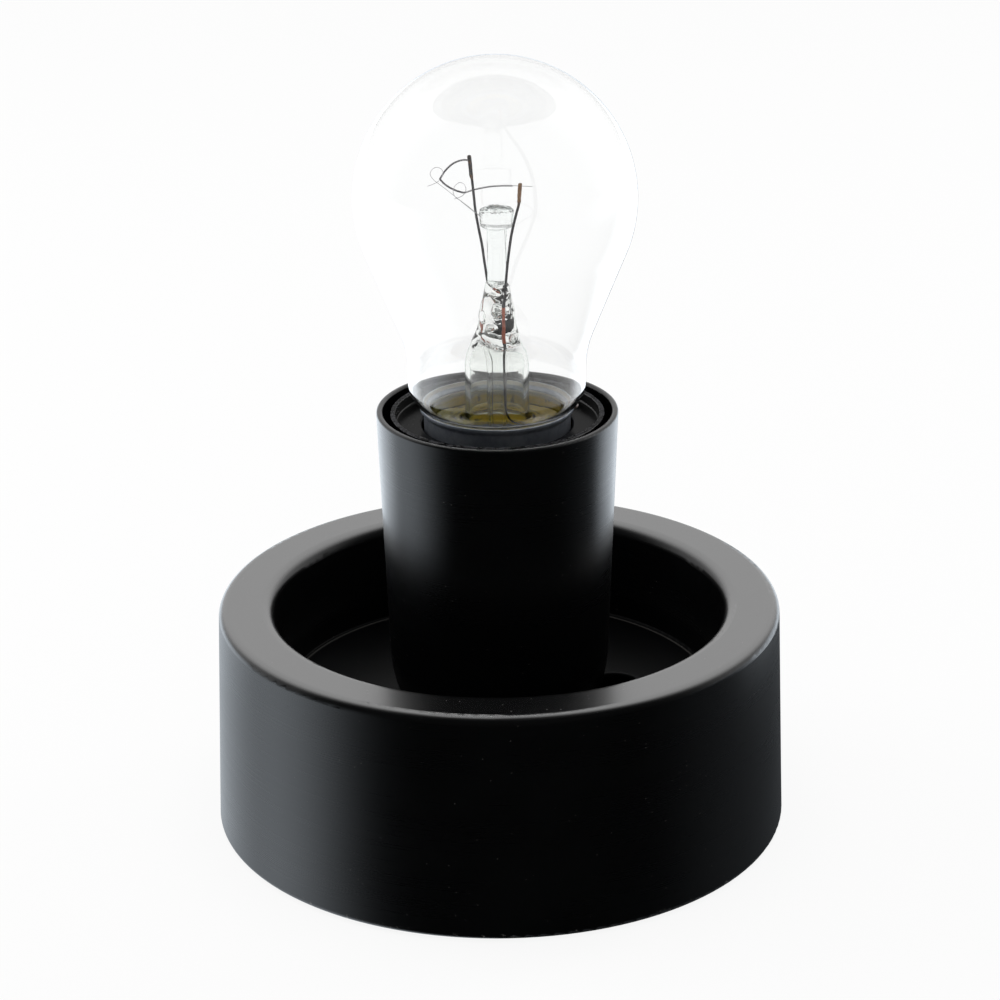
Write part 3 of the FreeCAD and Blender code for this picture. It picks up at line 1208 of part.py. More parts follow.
NODES = {
    "base_bowl": make_base_bowl,
    "base_plate": make_base_plate,
    "base_plate_screws": make_plate_screws,
    "foot_ring": make_foot_ring,
    "cord_bush": make_cord_bush,
    "cord_clamp": make_cord_clamp,
    "cord_clamp_screws": make_clamp_screws,
    "terminal_block": make_terminal_block,
    "terminal_block_tubes": make_terminal_tubes,
    "terminal_block_screws": make_terminal_screws,
    "threaded_tube": make_threaded_tube,
    "floor_washer": make_floor_washer,
    "earth_tag": make_earth_tag,
    "tube_nut": make_tube_nut,
    "live_wire": make_live_wire,
    "neutral_wire": make_neutral_wire,
    "earth_wire": make_earth_wire,
    "socket_cup": make_socket_cup,
    "holder_dome": make_holder_dome,
    "holder_insert": make_holder_insert,
    "holder_skirt": make_holder_skirt,
    "holder_screw_shell": make_screw_shell,
    "holder_centre_contact": make_centre_contact,
    "holder_shell_contact": make_shell_contact,
    "holder_terminals": make_holder_terminals,
    "holder_terminal_screws": make_holder_screws,
    "bulb_glass": make_bulb_glass,
    "stem_flare": make_stem_flare,
    "exhaust_tube": make_exhaust_tube,
    "arbor_rod": make_arbor_rod,
    "left_lead": make_left_lead,
    "right_lead": make_right_lead,
    "seal_wires": make_seal_wires,
    "side_lead": make_side_lead,
    "centre_lead": make_centre_lead,
    "filament": make_filament,
    "filament_supports": make_filament_supports,
    "cap_shell": make_cap_shell,
    "cap_insulator": make_cap_insulator,
    "cap_contact": make_cap_contact,
    "cap_side_solder": make_side_solder,
    "basing_cement": make_basing_cement,
}

os.makedirs("parts", exist_ok=True)
for node, make in NODES.items():
    shape = make()
    if not shape.isValid() or not shape.Solids:
        raise ValueError(node + " is not a sound solid")
    shape.exportStep("parts/" + node + ".step")
    print(node, len(shape.Solids), "solids", round(shape.Volume, 3), "mm3")
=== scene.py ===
"""Bare bulb table lamp: the bulb's glass, stem, wires and filament, the finishes of every part, and a plain studio."""
import math

import bmesh
import bpy
from bpy.props import FloatProperty, FloatVectorProperty, PointerProperty
from mathutils import Matrix, Vector, noise


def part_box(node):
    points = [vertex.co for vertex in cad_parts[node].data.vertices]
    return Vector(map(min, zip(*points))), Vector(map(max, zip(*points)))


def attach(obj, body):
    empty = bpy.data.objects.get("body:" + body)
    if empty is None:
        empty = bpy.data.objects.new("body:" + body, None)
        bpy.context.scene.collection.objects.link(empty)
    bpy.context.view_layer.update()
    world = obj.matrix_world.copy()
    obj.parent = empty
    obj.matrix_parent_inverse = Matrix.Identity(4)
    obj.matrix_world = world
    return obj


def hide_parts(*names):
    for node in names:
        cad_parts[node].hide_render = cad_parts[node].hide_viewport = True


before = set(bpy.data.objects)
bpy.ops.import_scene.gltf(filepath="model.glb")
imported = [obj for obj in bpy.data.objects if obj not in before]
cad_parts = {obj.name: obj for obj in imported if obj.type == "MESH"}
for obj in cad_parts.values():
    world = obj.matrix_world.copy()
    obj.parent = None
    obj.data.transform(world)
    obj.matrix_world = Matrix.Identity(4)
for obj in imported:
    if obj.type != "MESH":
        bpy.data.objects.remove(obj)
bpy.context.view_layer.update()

bl_info = {
    "name": "Bare bulb table lamp",
    "version": (1, 0, 0),
    "blender": (4, 5, 0),
    "location": "View3D > Sidebar > Lamp",
    "description": "Makes a table lamp's clear bulb and wires, finishes its parts and sets them on a pale floor",
    "category": "Add Mesh",
}

MM = 0.001
TURN = 2 * math.pi
GLASS_INDEX = 1.48

# In mm. Two or four numbers of one name are where a smooth change starts and ends, and starts and ends again.
LEAN = 0.22                                 # of the pinch, rod and button, to the right of the tube
GLASS_FOOT = 77.0                           # height of the glass's lower edge, inside the cap
FLARE_RIM = 78.35                           # height of the upper edge of the stem's flare
STEM_ROUND = 86.0                           # height up to which the stem is a plain tube
WELL_SIDE = (43.0, 44.2)                    # radius, from inside the bowl's well to its wall
WELL_FLOOR = (27.5, 30.5)                   # height, from the well's floor to the cup's wall
FLOOR_HIGHLIGHT = (39.85, 40.05, 40.2, 40.45)    # radius of the painted highlight line round the well's floor
BASE_RIM = (38.0, 41.0, 47.0, 50.0)         # height of the bowl's rubbed rim


# ---------------------------------------------------------------- sizes and colours

def measure(name, description, default, least=0.0):
    return FloatProperty(name=name, description=description + ", in mm", default=default, min=least)


def paint(name, description, *default):
    return FloatVectorProperty(name=name, description=description, subtype="COLOR", size=4, min=0, max=1,
                               default=(*default, 1))


class BulbSizes(bpy.types.PropertyGroup):
    globe_radius: measure("Globe radius", "Outer radius of the round part", 25.5, 10)
    globe_height: measure("Globe centre", "Height of the globe's centre over the table", 121.1)
    neck_radius: measure("Neck radius", "Outer radius of the straight neck", 16.25, 5)
    throat_radius: measure("Throat radius", "Outer radius inside the cap", 12.6, 4)
    wall: measure("Glass wall", "Thickness of the blown glass", 0.6, 0.1)
    unevenness: measure("Unevenness", "How far the blown neck strays from round", 0.10)


class StemSizes(bpy.types.PropertyGroup):
    tube_radius: measure("Tube radius", "Outer radius of the flared tube", 5.85, 2)
    tube_wall: measure("Tube wall", "Thickness of the flared tube", 0.9, 0.2)
    pinch_turn: FloatProperty(name="Pinch direction", description="Direction of the pinch's long side",
                              default=math.radians(-64), subtype="ANGLE")
    fold_depth: measure("Fold depth", "Depth of the folds in the pinched glass", 0.24)
    rod_radius: measure("Rod radius", "Radius of the glass rod", 1.78, 0.3)
    button_radius: measure("Button radius", "Radius of the button on the rod", 3.05, 0.5)


class WireSizes(bpy.types.PropertyGroup):
    lead_radius: measure("Lead radius", "Radius of the two lead wires", 0.24, 0.05)
    support_radius: measure("Support radius", "Radius of the fine filament supports", 0.052, 0.01)
    coil_radius: measure("Coil radius", "Radius of the filament's coil", 0.13, 0.02)
    coil_wire: measure("Filament wire", "Radius of the coiled wire", 0.042, 0.005)
    coil_pitch: measure("Coil pitch", "Distance from turn to turn", 0.15, 0.02)


class LampColours(bpy.types.PropertyGroup):
    lacquer: paint("Lacquer", "Colour of base and cup", 0.0009, 0.0010, 0.0012)
    phenolic: paint("Phenolic", "Colour of the holder", 0.0012, 0.0012, 0.0014)
    cap_metal: paint("Cap metal", "Colour of the bulb's cap", 0.42, 0.45, 0.50)
    cement: paint("Cement", "Colour of the basing cement", 0.58, 0.50, 0.07)
    floor: paint("Floor", "Colour of the studio floor", 0.90, 0.90, 0.90)


class LampSettings(bpy.types.PropertyGroup):
    bulb: PointerProperty(type=BulbSizes)
    stem: PointerProperty(type=StemSizes)
    wires: PointerProperty(type=WireSizes)
    colours: PointerProperty(type=LampColours)


# ---------------------------------------------------------------- nodes written as sums

class Wire:
    """An output socket; sums with it add Math nodes to its tree."""

    def __init__(self, bench, socket):
        self.bench, self.socket = bench, socket

    def _sum(self, operation, a, b=None):
        values = {0: a} if b is None else {0: a, 1: b}
        return self.bench.node("ShaderNodeMath", {"operation": operation}, values)

    def __add__(self, other): return self._sum("ADD", self, other)
    def __radd__(self, other): return self._sum("ADD", other, self)
    def __sub__(self, other): return self._sum("SUBTRACT", self, other)
    def __rsub__(self, other): return self._sum("SUBTRACT", other, self)
    def __mul__(self, other): return self._sum("MULTIPLY", self, other)
    def __rmul__(self, other): return self._sum("MULTIPLY", other, self)
    def __truediv__(self, other): return self._sum("DIVIDE", self, other)
    def __gt__(self, other): return self._sum("GREATER_THAN", self, other)
    def __lt__(self, other): return self._sum("LESS_THAN", self, other)

    def most(self, other): return self._sum("MAXIMUM", self, other)
    def root(self): return self._sum("SQRT", self)
    def size(self): return self._sum("ABSOLUTE", self)

    def output(self, name):
        return Wire(self.bench, self.socket.node.outputs[name])


def reach(x, y):
    """The length of a flat vector."""
    return (x * x + y * y).root()


class Bench:
    """A node tree under construction."""

    def __init__(self, tree):
        self.tree = tree
        tree.nodes.clear()

    def node(self, kind, settings=None, sockets=None, output=0):
        made = self.tree.nodes.new(kind)
        for name, value in (settings or {}).items():
            setattr(made, name, value)
        for name, value in (sockets or {}).items():
            if isinstance(value, Wire):
                self.tree.links.new(value.socket, made.inputs[name])
            else:
                made.inputs[name].default_value = value
        return Wire(self, made.outputs[output]) if made.outputs else None

    def mix(self, factor, first, second):
        """A colour between two colours."""
        return self.node("ShaderNodeMix", {"data_type": "RGBA"}, {0: factor, 6: first, 7: second}, 2)

    def blend(self, factor, first, second):
        """A shader between two shaders."""
        return self.node("ShaderNodeMixShader", None, {0: factor, 1: first, 2: second})

    def span(self, value, low, high, start=0.0, end=1.0):
        """Value from low..high brought to start..end, smoothly and no further."""
        return self.node("ShaderNodeMapRange", {"interpolation_type": "SMOOTHSTEP"},
                         {"Value": value, "From Min": low, "From Max": high, "To Min": start, "To Max": end})

    def band(self, value, low, rise, fall, high):
        """1 from rise to fall, and 0 below low and above high."""
        return self.span(value, low, rise) * self.span(value, fall, high, 1.0, 0.0)

    def upward(self):
        """How far the surface faces up: 1 on a level top, -1 underneath."""
        return self.node("ShaderNodeSeparateXYZ", None, {0: self.node("ShaderNodeNewGeometry", output="Normal")}, "Z")

    def place(self):
        """Object coordinates in millimetres: the vector and its three numbers."""
        where = self.node("ShaderNodeTexCoord", output="Object")
        mm = self.node("ShaderNodeVectorMath", {"operation": "SCALE"}, {0: where, "Scale": 1000.0})
        x = self.node("ShaderNodeSeparateXYZ", None, {0: mm}, "X")
        return mm, x, x.output("Y"), x.output("Z")

    def cloud(self, vector, scale, detail=3.0, rough=0.55, warp=0.0):
        return self.node("ShaderNodeTexNoise", {"noise_dimensions": "3D"},
                         {"Vector": vector, "Scale": scale, "Detail": detail, "Roughness": rough,
                          "Distortion": warp}, "Fac")

    def specks(self, vector, scale, radius, share):
        """Round dots: 1 inside a dot, for that share of the cells."""
        cell = self.node("ShaderNodeTexVoronoi", None, {"Vector": vector, "Scale": scale}, "Distance")
        pick = self.node("ShaderNodeSeparateColor", None, {0: cell.output("Color")}, "Red")
        return (cell < radius) * (pick < share)

    def rings(self, x, y, z, scale):
        """Noise that runs round the lathe's axis, as turning marks do."""
        line = self.node("ShaderNodeCombineXYZ", None, {0: reach(x, y), 2: z})
        return self.cloud(line, scale, 4.0, 0.6)

    def bump(self, height, depth_mm):
        return self.node("ShaderNodeBump", None, {"Height": height, "Strength": 1.0, "Distance": depth_mm * MM})


def finish(name, colour):
    """A new empty material and its bench."""
    material = bpy.data.materials.new(name)
    material.use_nodes = True
    material.diffuse_color = colour
    return material, Bench(material.node_tree)


def surface(bench, sockets):
    return bench.node("ShaderNodeBsdfPrincipled", None, sockets, "BSDF")


def seal(bench, shader):
    bench.node("ShaderNodeOutputMaterial", None, {"Surface": shader})


# ---------------------------------------------------------------- finishes

def black_lacquer(colour):
    """Matte lacquer over turned metal: turning marks, dust, pits, a dull well, a rim rubbed smooth and a painted
    highlight line round the well's floor.
    """
    material, b = finish("black_lacquer", colour)
    mm, x, y, z = b.place()
    turning = b.rings(x, y, z, 2.6)
    broad = b.rings(x, y, z, 0.35)
    grain = b.cloud(mm, 5.0, 4.0, 0.65)
    patch = b.cloud(mm, 0.06, 3.0)
    dust = b.specks(mm, 0.8, 0.085, 0.20)
    pits = b.specks(mm, 0.55, 0.10, 0.18)
    chip = b.span(b.cloud(mm, 0.9, 4.0, 0.7), 0.60, 0.66) * b.span(z, 0.8, 2.0, 1.0, 0.0)
    tone = b.mix(b.span(patch, 0.35, 0.7), colour, tuple(1.7 * c for c in colour[:3]) + (1,))
    tone = b.mix(dust * 0.5, tone, (0.09, 0.085, 0.075, 1))
    tone = b.mix(chip * 0.8, tone, (0.30, 0.28, 0.26, 1))
    height = turning * 0.55 + grain * 0.30 + dust * 0.9 - pits * 1.3 - chip * 1.5
    rough = 0.19 + turning * 0.08 + broad * 0.05 + patch * 0.06 + dust * 0.2
    normal = b.bump(height, 0.010)
    across = reach(x, y)
    well = b.span(across, *WELL_SIDE, 1.0, 0.0) * b.span(z, *WELL_FLOOR, 1.0, 0.0)
    # Painted highlight: a lighter thin ring where the well's floor meets its wall.
    tone = b.mix(b.band(across, *FLOOR_HIGHLIGHT) * well, tone, (0.05, 0.048, 0.045, 1))
    matte = surface(b, {"Base Color": tone, "Roughness": rough, "Specular IOR Level": 0.5, "Normal": normal})
    bare = surface(b, {"Base Color": tone, "Roughness": 0.42, "Specular IOR Level": 0.10, "Normal": normal})
    rubbed = surface(b, {"Base Color": tone, "Roughness": rough - 0.04, "IOR": 2.0, "Specular IOR Level": 1.0,
                         "Normal": normal})
    rim = b.span(b.upward(), 0.55, 0.95) * b.band(z, *BASE_RIM)
    seal(b, b.blend(rim, b.blend(well, matte, bare), rubbed))
    return material


def black_phenolic(colour):
    """Glossy moulded phenolic with a faint flow grain, dust, dull ledges and an upper edge made lighter partly by wear
    and partly by a painted highlight.
    """
    material, b = finish("black_phenolic", colour)
    mm, _, _, z = b.place()
    flow = b.cloud(mm, 0.5, 3.0, 0.5, 0.6)
    fine = b.cloud(mm, 6.0, 3.0)
    dust = b.specks(mm, 1.1, 0.09, 0.20)
    # Lighter, rougher, dented top edge: partly wear, partly a painted highlight along the rim.
    edge = b.span(z, 80.1, 80.6) * b.span(b.cloud(mm, 0.9, 4.0, 0.7), 0.42, 0.62)
    tone = b.mix(dust * 0.5, b.mix(edge * 0.6, colour, (0.10, 0.10, 0.11, 1)), (0.22, 0.21, 0.19, 1))
    rough = 0.10 + flow * 0.10 + edge * 0.25 + dust * 0.3
    normal = b.bump(flow * 0.5 + fine * 0.12 - edge * 3.0 + dust * 0.6, 0.012)
    glossy = surface(b, {"Base Color": tone, "Roughness": rough, "Normal": normal})
    dull = surface(b, {"Base Color": tone, "Roughness": rough + 0.06, "Specular IOR Level": 0.02, "Normal": normal})
    seal(b, b.blend(b.span(b.upward(), 0.55, 0.9), glossy, dull))
    return material


def dull_metal(name, colour, stain, rough, scale=1.0, drawn=0.0):
    """Bare metal with smudges, a fine grain and, where it was drawn or turned, marks round its axis."""
    material, b = finish(name, colour)
    mm, x, y, z = b.place()
    smudge = b.cloud(mm, 0.28 * scale, 4.0, 0.6, 0.4)
    grain = b.cloud(mm, 7.0 * scale, 4.0, 0.7)
    marks = b.rings(x, y, z, 3.5 * scale)
    spots = b.specks(mm, 0.9 * scale, 0.13, 0.16)
    tone = b.mix(b.span(smudge, 0.35, 0.72), colour, stain)
    tone = b.mix(spots * 0.35, tone, tuple(0.45 * c for c in stain[:3]) + (1,))
    height = grain * 0.5 + marks * drawn - spots * 0.8
    seal(b, surface(b, {"Base Color": tone, "Metallic": 1.0, "Roughness": rough + smudge * 0.16 + grain * 0.08,
                        "Normal": b.bump(height, 0.006)}))
    return material


def moulded(name, colour, shade, rough, relief=0.008, specular=0.5):
    """Plain moulded or extruded plastic, rubber or glass: slight mottling, a fine skin and dust."""
    material, b = finish(name, colour)
    mm = b.place()[0]
    mottle = b.cloud(mm, 0.35, 3.0)
    skin = b.cloud(mm, 6.0, 3.0, 0.6)
    dust = b.specks(mm, 0.9, 0.10, 0.15)
    tone = b.mix(b.span(mottle, 0.3, 0.75), colour, shade)
    tone = b.mix(dust * 0.3, tone, (0.4, 0.38, 0.35, 1))
    seal(b, surface(b, {"Base Color": tone, "Roughness": rough + skin * 0.12, "Specular IOR Level": specular,
                        "Normal": b.bump(skin * 0.6 + mottle * 0.4, relief)}))
    return material


def earth_insulation():
    """Green insulation with a yellow stripe on its two sides."""
    material, b = finish("earth_insulation", (0.2, 0.45, 0.1, 1))
    mm = b.place()[0]
    stripe = b.span(b.upward().size(), 0.62, 0.72)
    skin = b.cloud(mm, 5.0, 3.0)
    tone = b.mix(stripe, (0.06, 0.30, 0.05, 1), (0.75, 0.62, 0.04, 1))
    seal(b, surface(b, {"Base Color": tone, "Roughness": 0.38 + skin * 0.12, "Normal": b.bump(skin, 0.006)}))
    return material


def clear_glass(name, tint, edge_tint, relief, grain_scale, edge_start, edge_end):
    """Clear glass with slight draw waves; seen along its surface it takes a grey-green edge."""
    material, b = finish(name, tint)
    normal = b.bump(b.cloud(b.place()[0], grain_scale, 2.0, 0.5, 0.5), relief)
    plain, edge = (surface(b, {"Base Color": shade, "Roughness": rough, "IOR": GLASS_INDEX,
                               "Transmission Weight": 1.0, "Normal": normal})
                   for shade, rough in ((tint, 0.0), (edge_tint, 0.03)))
    low = b.node("ShaderNodeLayerWeight", None, {"Blend": 0.5}, "Facing")
    seal(b, b.blend(b.span(low, edge_start, edge_end), plain, edge))
    return material


def basing_cement(colour):
    """Olive-brown basing cement with lumps and dark specks, painted brighter gold towards its back and right as its lit
    side.
    """
    material, b = finish("basing_cement", colour)
    mm, x, y, z = b.place()
    lumps = b.cloud(mm, 0.55, 5.0, 0.6, 0.5)
    fine = b.cloud(mm, 3.0, 4.0, 0.6)
    dark = b.span(b.cloud(mm, 0.33, 2.0, 0.5), 0.60, 0.66)
    # Painted light: the cement turns brighter gold towards the back and right, as where light falls on it.
    lit_gold = b.span(y + x * 0.6 + lumps * 8.0, 2.0, 12.0)
    tone = b.mix(lit_gold, colour, (0.88, 0.62, 0.05, 1))
    tone = b.mix(b.span(fine, 0.45, 0.75) * 0.45, tone, (0.30, 0.26, 0.04, 1))
    tone = b.mix(dark * 0.7, tone, (0.05, 0.045, 0.02, 1))
    tone = b.mix(b.span(z, 79.4, 80.4), tone, (0.78, 0.74, 0.64, 1))
    seal(b, surface(b, {"Base Color": tone, "Roughness": 0.30 + fine * 0.25,
                        "Normal": b.bump(lumps + fine * 0.4, 0.10)}))
    return material


def rolled_cap(colour):
    """Dull rolled aluminium, with a cream-white line along the inner edge of its rim painted as the rim bead's
    highlight.
    """
    material, b = finish("cap_aluminium", colour)
    mm, x, y, z = b.place()
    smudge = b.cloud(mm, 0.28, 4.0, 0.6, 0.4)
    grain = b.cloud(mm, 7.0, 4.0, 0.7)
    marks = b.rings(x, y, z, 3.5)
    line_wobble = b.cloud(mm, 0.8, 3.0, 0.6)
    tone = b.mix(b.span(smudge, 0.35, 0.72), colour, (0.26, 0.29, 0.35, 1))
    metal = surface(b, {"Base Color": tone, "Metallic": 0.8, "Roughness": 0.34 + smudge * 0.16 + grain * 0.08,
                        "Normal": b.bump(grain * 0.5 + marks * 0.5, 0.008)})
    # Painted highlight of the rim bead: a rough cream-white surface along the rim's inner edge.
    crust = surface(b, {"Base Color": b.mix(grain, (0.86, 0.82, 0.72, 1), (0.60, 0.56, 0.44, 1)), "Roughness": 0.6,
                        "Normal": b.bump(grain, 0.03)})
    rim_highlight = b.span(reach(x, y) + line_wobble * 0.5, 14.3, 14.1) * b.span(z, 81.3, 81.5)
    seal(b, b.blend(rim_highlight, metal, crust))
    return material


def soft_solder():
    """A drop of solder, bright where it wetted the rim and coppery at its foot."""
    material, b = finish("solder", (0.6, 0.6, 0.6, 1))
    mm, _, _, z = b.place()
    crust = b.cloud(mm, 1.6, 4.0, 0.65)
    foot = b.span(z + crust * 1.2, 82.0, 83.2, 1.0, 0.0)
    tone = b.mix(foot * 0.8, (0.72, 0.72, 0.73, 1), (0.46, 0.24, 0.15, 1))
    seal(b, surface(b, {"Base Color": tone, "Metallic": 0.9, "Roughness": 0.22 + crust * 0.3,
                        "Normal": b.bump(crust, 0.06)}))
    return material


def seal_copper():
    """Copper-clad seal wire: brick red where the glass holds it."""
    material, b = finish("seal_copper", (0.6, 0.2, 0.1, 1))
    oxide = b.cloud(b.place()[0], 1.4, 3.0)
    tone = b.mix(b.span(oxide, 0.35, 0.65), (0.62, 0.13, 0.05, 1), (0.42, 0.07, 0.03, 1))
    seal(b, surface(b, {"Base Color": tone, "Metallic": 0.3, "Roughness": 0.45 + oxide * 0.15,
                        "Normal": b.bump(oxide, 0.006)}))
    return material


def lead_nickel(name, brown):
    """Dull nickel lead: darker down its length, with the heat's brown on the crimp."""
    material, b = finish(name, (0.25, 0.24, 0.24, 1))
    mm, _, _, z = b.place()
    streak = b.cloud(mm, 1.1, 4.0, 0.7)
    heat = b.span(z + streak * 1.4, 122.2, 123.8)
    tone = b.mix(b.span(streak, 0.35, 0.7), (0.055, 0.052, 0.055, 1), (0.020, 0.020, 0.024, 1))
    burnt = heat * b.span(b.cloud(mm, 1.7, 3.0, 0.6), 0.62 - 0.30 * brown, 0.72 - 0.30 * brown)
    tone = b.mix(burnt, tone, (0.21, 0.115, 0.055, 1))
    seal(b, surface(b, {"Base Color": tone, "Metallic": 0.6, "Roughness": 0.34 + streak * 0.2,
                        "Normal": b.bump(streak, 0.02)}))
    return material


# ---------------------------------------------------------------- shapes

def rounded(corners):
    """A line through (radius, height, rounding) corners, in mm, with its corners rounded."""
    line = [Vector(corners[0][:2])]
    for before, here, after in zip(corners, corners[1:], corners[2:]):
        corner = Vector(here[:2])
        back, on = (Vector(before[:2]) - corner).normalized(), (Vector(after[:2]) - corner).normalized()
        half = back.angle(on) / 2
        centre = corner + (back + on).normalized() * here[2] / math.sin(half)
        arm = corner + back * here[2] / math.tan(half) - centre
        last = corner + on * here[2] / math.tan(half) - centre
        sweep = math.atan2(arm.x * last.y - arm.y * last.x, arm.dot(last))
        steps = max(4, round(abs(sweep) / math.radians(4)))
        line += [centre + Matrix.Rotation(sweep * k / steps, 2) @ arm for k in range(steps + 1)]
    line.append(Vector(corners[-1][:2]))
    return line


def even(line, longest):
    """The same line with no step longer than that."""
    made = [line[0]]
    for a, b in zip(line, line[1:]):
        steps = max(1, math.ceil((b - a).length / longest))
        made += [a.lerp(b, k / steps) for k in range(1, steps + 1)]
    return made


def inward(line, depth):
    """The line moved by depth to its right-hand side, which is towards the axis for one that runs downwards."""
    made = []
    for k, here in enumerate(line):
        run = (line[min(k + 1, len(line) - 1)] - line[max(k - 1, 0)]).normalized()
        made.append(here + Vector((run.y, -run.x)) * depth)
    return made


def into_scene(name, mesh, material, outward=True):
    if outward:
        bmesh.ops.recalc_face_normals(mesh, faces=mesh.faces)
    data = bpy.data.meshes.new(name)
    mesh.to_mesh(data)
    mesh.free()
    data.polygons.foreach_set("use_smooth", [True] * len(data.polygons))
    data.materials.append(material)
    piece = bpy.data.objects.new(name, data)
    bpy.context.scene.collection.objects.link(piece)
    return piece


def skin(mesh, rings):
    """Faces between rings of vertices; a ring of one vertex is a closed pole."""
    for a, b in zip(rings, rings[1:]):
        count = max(len(a), len(b))
        for i in range(count):
            j = (i + 1) % count
            corners = [a[i % len(a)], a[j % len(a)], b[j % len(b)], b[i % len(b)]]
            corners = [v for k, v in enumerate(corners) if v not in corners[:k]]
            if len(corners) > 2:
                mesh.faces.new(corners)


def half_circle(steps):
    """A half circle of radius 1 from the lower pole to the upper one, to be turned into a ball."""
    line = [Vector((math.cos(t), math.sin(t))) for t in (-math.pi / 2 + math.pi * k / steps for k in range(steps + 1))]
    line[0].x = line[-1].x = 0
    return line


def lathe(mesh, line, around, shape):
    """Turn a line of (radius, height) round the Z axis; shape moves each point, in mm."""
    rings = []
    for radius, height in line:
        turns = 1 if radius < 1e-5 else around
        ring = []
        for i in range(turns):
            angle = TURN * i / turns
            point = Vector((radius * math.cos(angle), radius * math.sin(angle), height))
            ring.append(mesh.verts.new(shape(point) * MM))
        rings.append(ring)
    skin(mesh, rings)


def smooth_run(points, share=8):
    """A smooth line through points, in mm, each (x, y, z)."""
    points = [Vector(p) for p in points]
    ends = [2 * points[0] - points[1]] + points + [2 * points[-1] - points[-2]]
    line = []
    for a, b, c, d in zip(ends, ends[1:], ends[2:], ends[3:]):
        for k in range(share):
            t = k / share
            curve = (2 * a - 5 * b + 4 * c - d) * t * t
            line.append(0.5 * (2 * b + (c - a) * t + curve + (3 * b - a - 3 * c + d) * t ** 3))
    line.append(points[-1])
    return line


def wire_mesh(mesh, line, radii, sides=12):
    """A closed round or flattened wire along a line; radii gives (one way, other way) at each point, in mm."""
    side = None
    rings = []
    for k, here in enumerate(line):
        run = (line[min(k + 1, len(line) - 1)] - line[max(k - 1, 0)]).normalized()
        if side is None:
            side = run.orthogonal().normalized()
        side = (side - run * side.dot(run)).normalized()
        other = run.cross(side)
        wide, thick = radii(k / (len(line) - 1), here)
        ring = [mesh.verts.new((here + side * math.cos(t) * wide + other * math.sin(t) * thick) * MM)
                for t in (TURN * i / sides for i in range(sides))]
        if k == 0:
            rings.append([mesh.verts.new((here - run * thick * 0.5) * MM)])
        rings.append(ring)
    rings.append([mesh.verts.new((line[-1] + run * thick * 0.5) * MM)])
    skin(mesh, rings)


def ripple(point, scale, seed):
    """Smooth noise from -1 to 1 at a point in mm."""
    return noise.noise(Vector(point) * scale + Vector((seed, 1.7 * seed, 0.3 * seed)))


def window(value, low, high, soft):
    """1 between low and high, falling to 0 over soft at both ends."""
    def step(t):
        t = min(max(t, 0), 1)
        return t * t * (3 - 2 * t)
    return step((value - low) / soft + 1) * step((high - value) / soft + 1)


def belongs(piece, body, slot, *nodes):
    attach(piece, body)
    if nodes:
        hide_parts(*nodes)


def dress(material, *nodes):
    for name in nodes:
        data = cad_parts[name].data
        data.materials.clear()
        data.materials.append(material)


def settings(context):
    return context.scene.bare_bulb_lamp


# ---------------------------------------------------------------- pieces

class LAMP_OT_lacquer(bpy.types.Operator):
    """Lacquer the bowl base and the cup"""
    bl_idname = "lamp.lacquer"
    bl_label = "Base and cup"

    def execute(self, context):
        dress(black_lacquer(tuple(settings(context).colours.lacquer)), "base_bowl", "socket_cup")
        return {"FINISHED"}


class LAMP_OT_holder(bpy.types.Operator):
    """Finish the lamp holder's moulded parts, shell and contacts"""
    bl_idname = "lamp.holder"
    bl_label = "Lamp holder"

    def execute(self, context):
        dress(black_phenolic(tuple(settings(context).colours.phenolic)), "holder_dome", "holder_insert", "holder_skirt")
        brass = dull_metal("brass", (0.78, 0.58, 0.26, 1), (0.50, 0.34, 0.14, 1), 0.22, drawn=0.4)
        dress(brass, "holder_screw_shell", "holder_centre_contact", "holder_shell_contact", "holder_terminals",
              "terminal_block_tubes", "earth_tag", "cap_contact")
        return {"FINISHED"}


class LAMP_OT_fittings(bpy.types.Operator):
    """Finish the base plate, foot ring, bush, terminals, tube, fasteners and mains wires"""
    bl_idname = "lamp.fittings"
    bl_label = "Base fittings and wiring"

    def execute(self, context):
        zinc = dull_metal("zinc_steel", (0.56, 0.57, 0.58, 1), (0.40, 0.40, 0.42, 1), 0.28, drawn=0.5)
        dress(zinc, "base_plate", "base_plate_screws", "cord_clamp_screws", "threaded_tube", "floor_washer", "tube_nut",
              "terminal_block_screws", "holder_terminal_screws")
        dress(moulded("black_rubber", (0.020, 0.020, 0.020, 1), (0.035, 0.034, 0.033, 1), 0.62, relief=0.02, specular=0.3),
              "foot_ring", "cord_bush")
        dress(moulded("white_nylon", (0.75, 0.74, 0.70, 1), (0.66, 0.64, 0.58, 1), 0.42), "terminal_block", "cord_clamp")
        dress(moulded("brown_insulation", (0.20, 0.09, 0.04, 1), (0.15, 0.065, 0.03, 1), 0.36), "live_wire")
        dress(moulded("blue_insulation", (0.04, 0.15, 0.50, 1), (0.03, 0.11, 0.40, 1), 0.36), "neutral_wire")
        dress(earth_insulation(), "earth_wire")
        return {"FINISHED"}


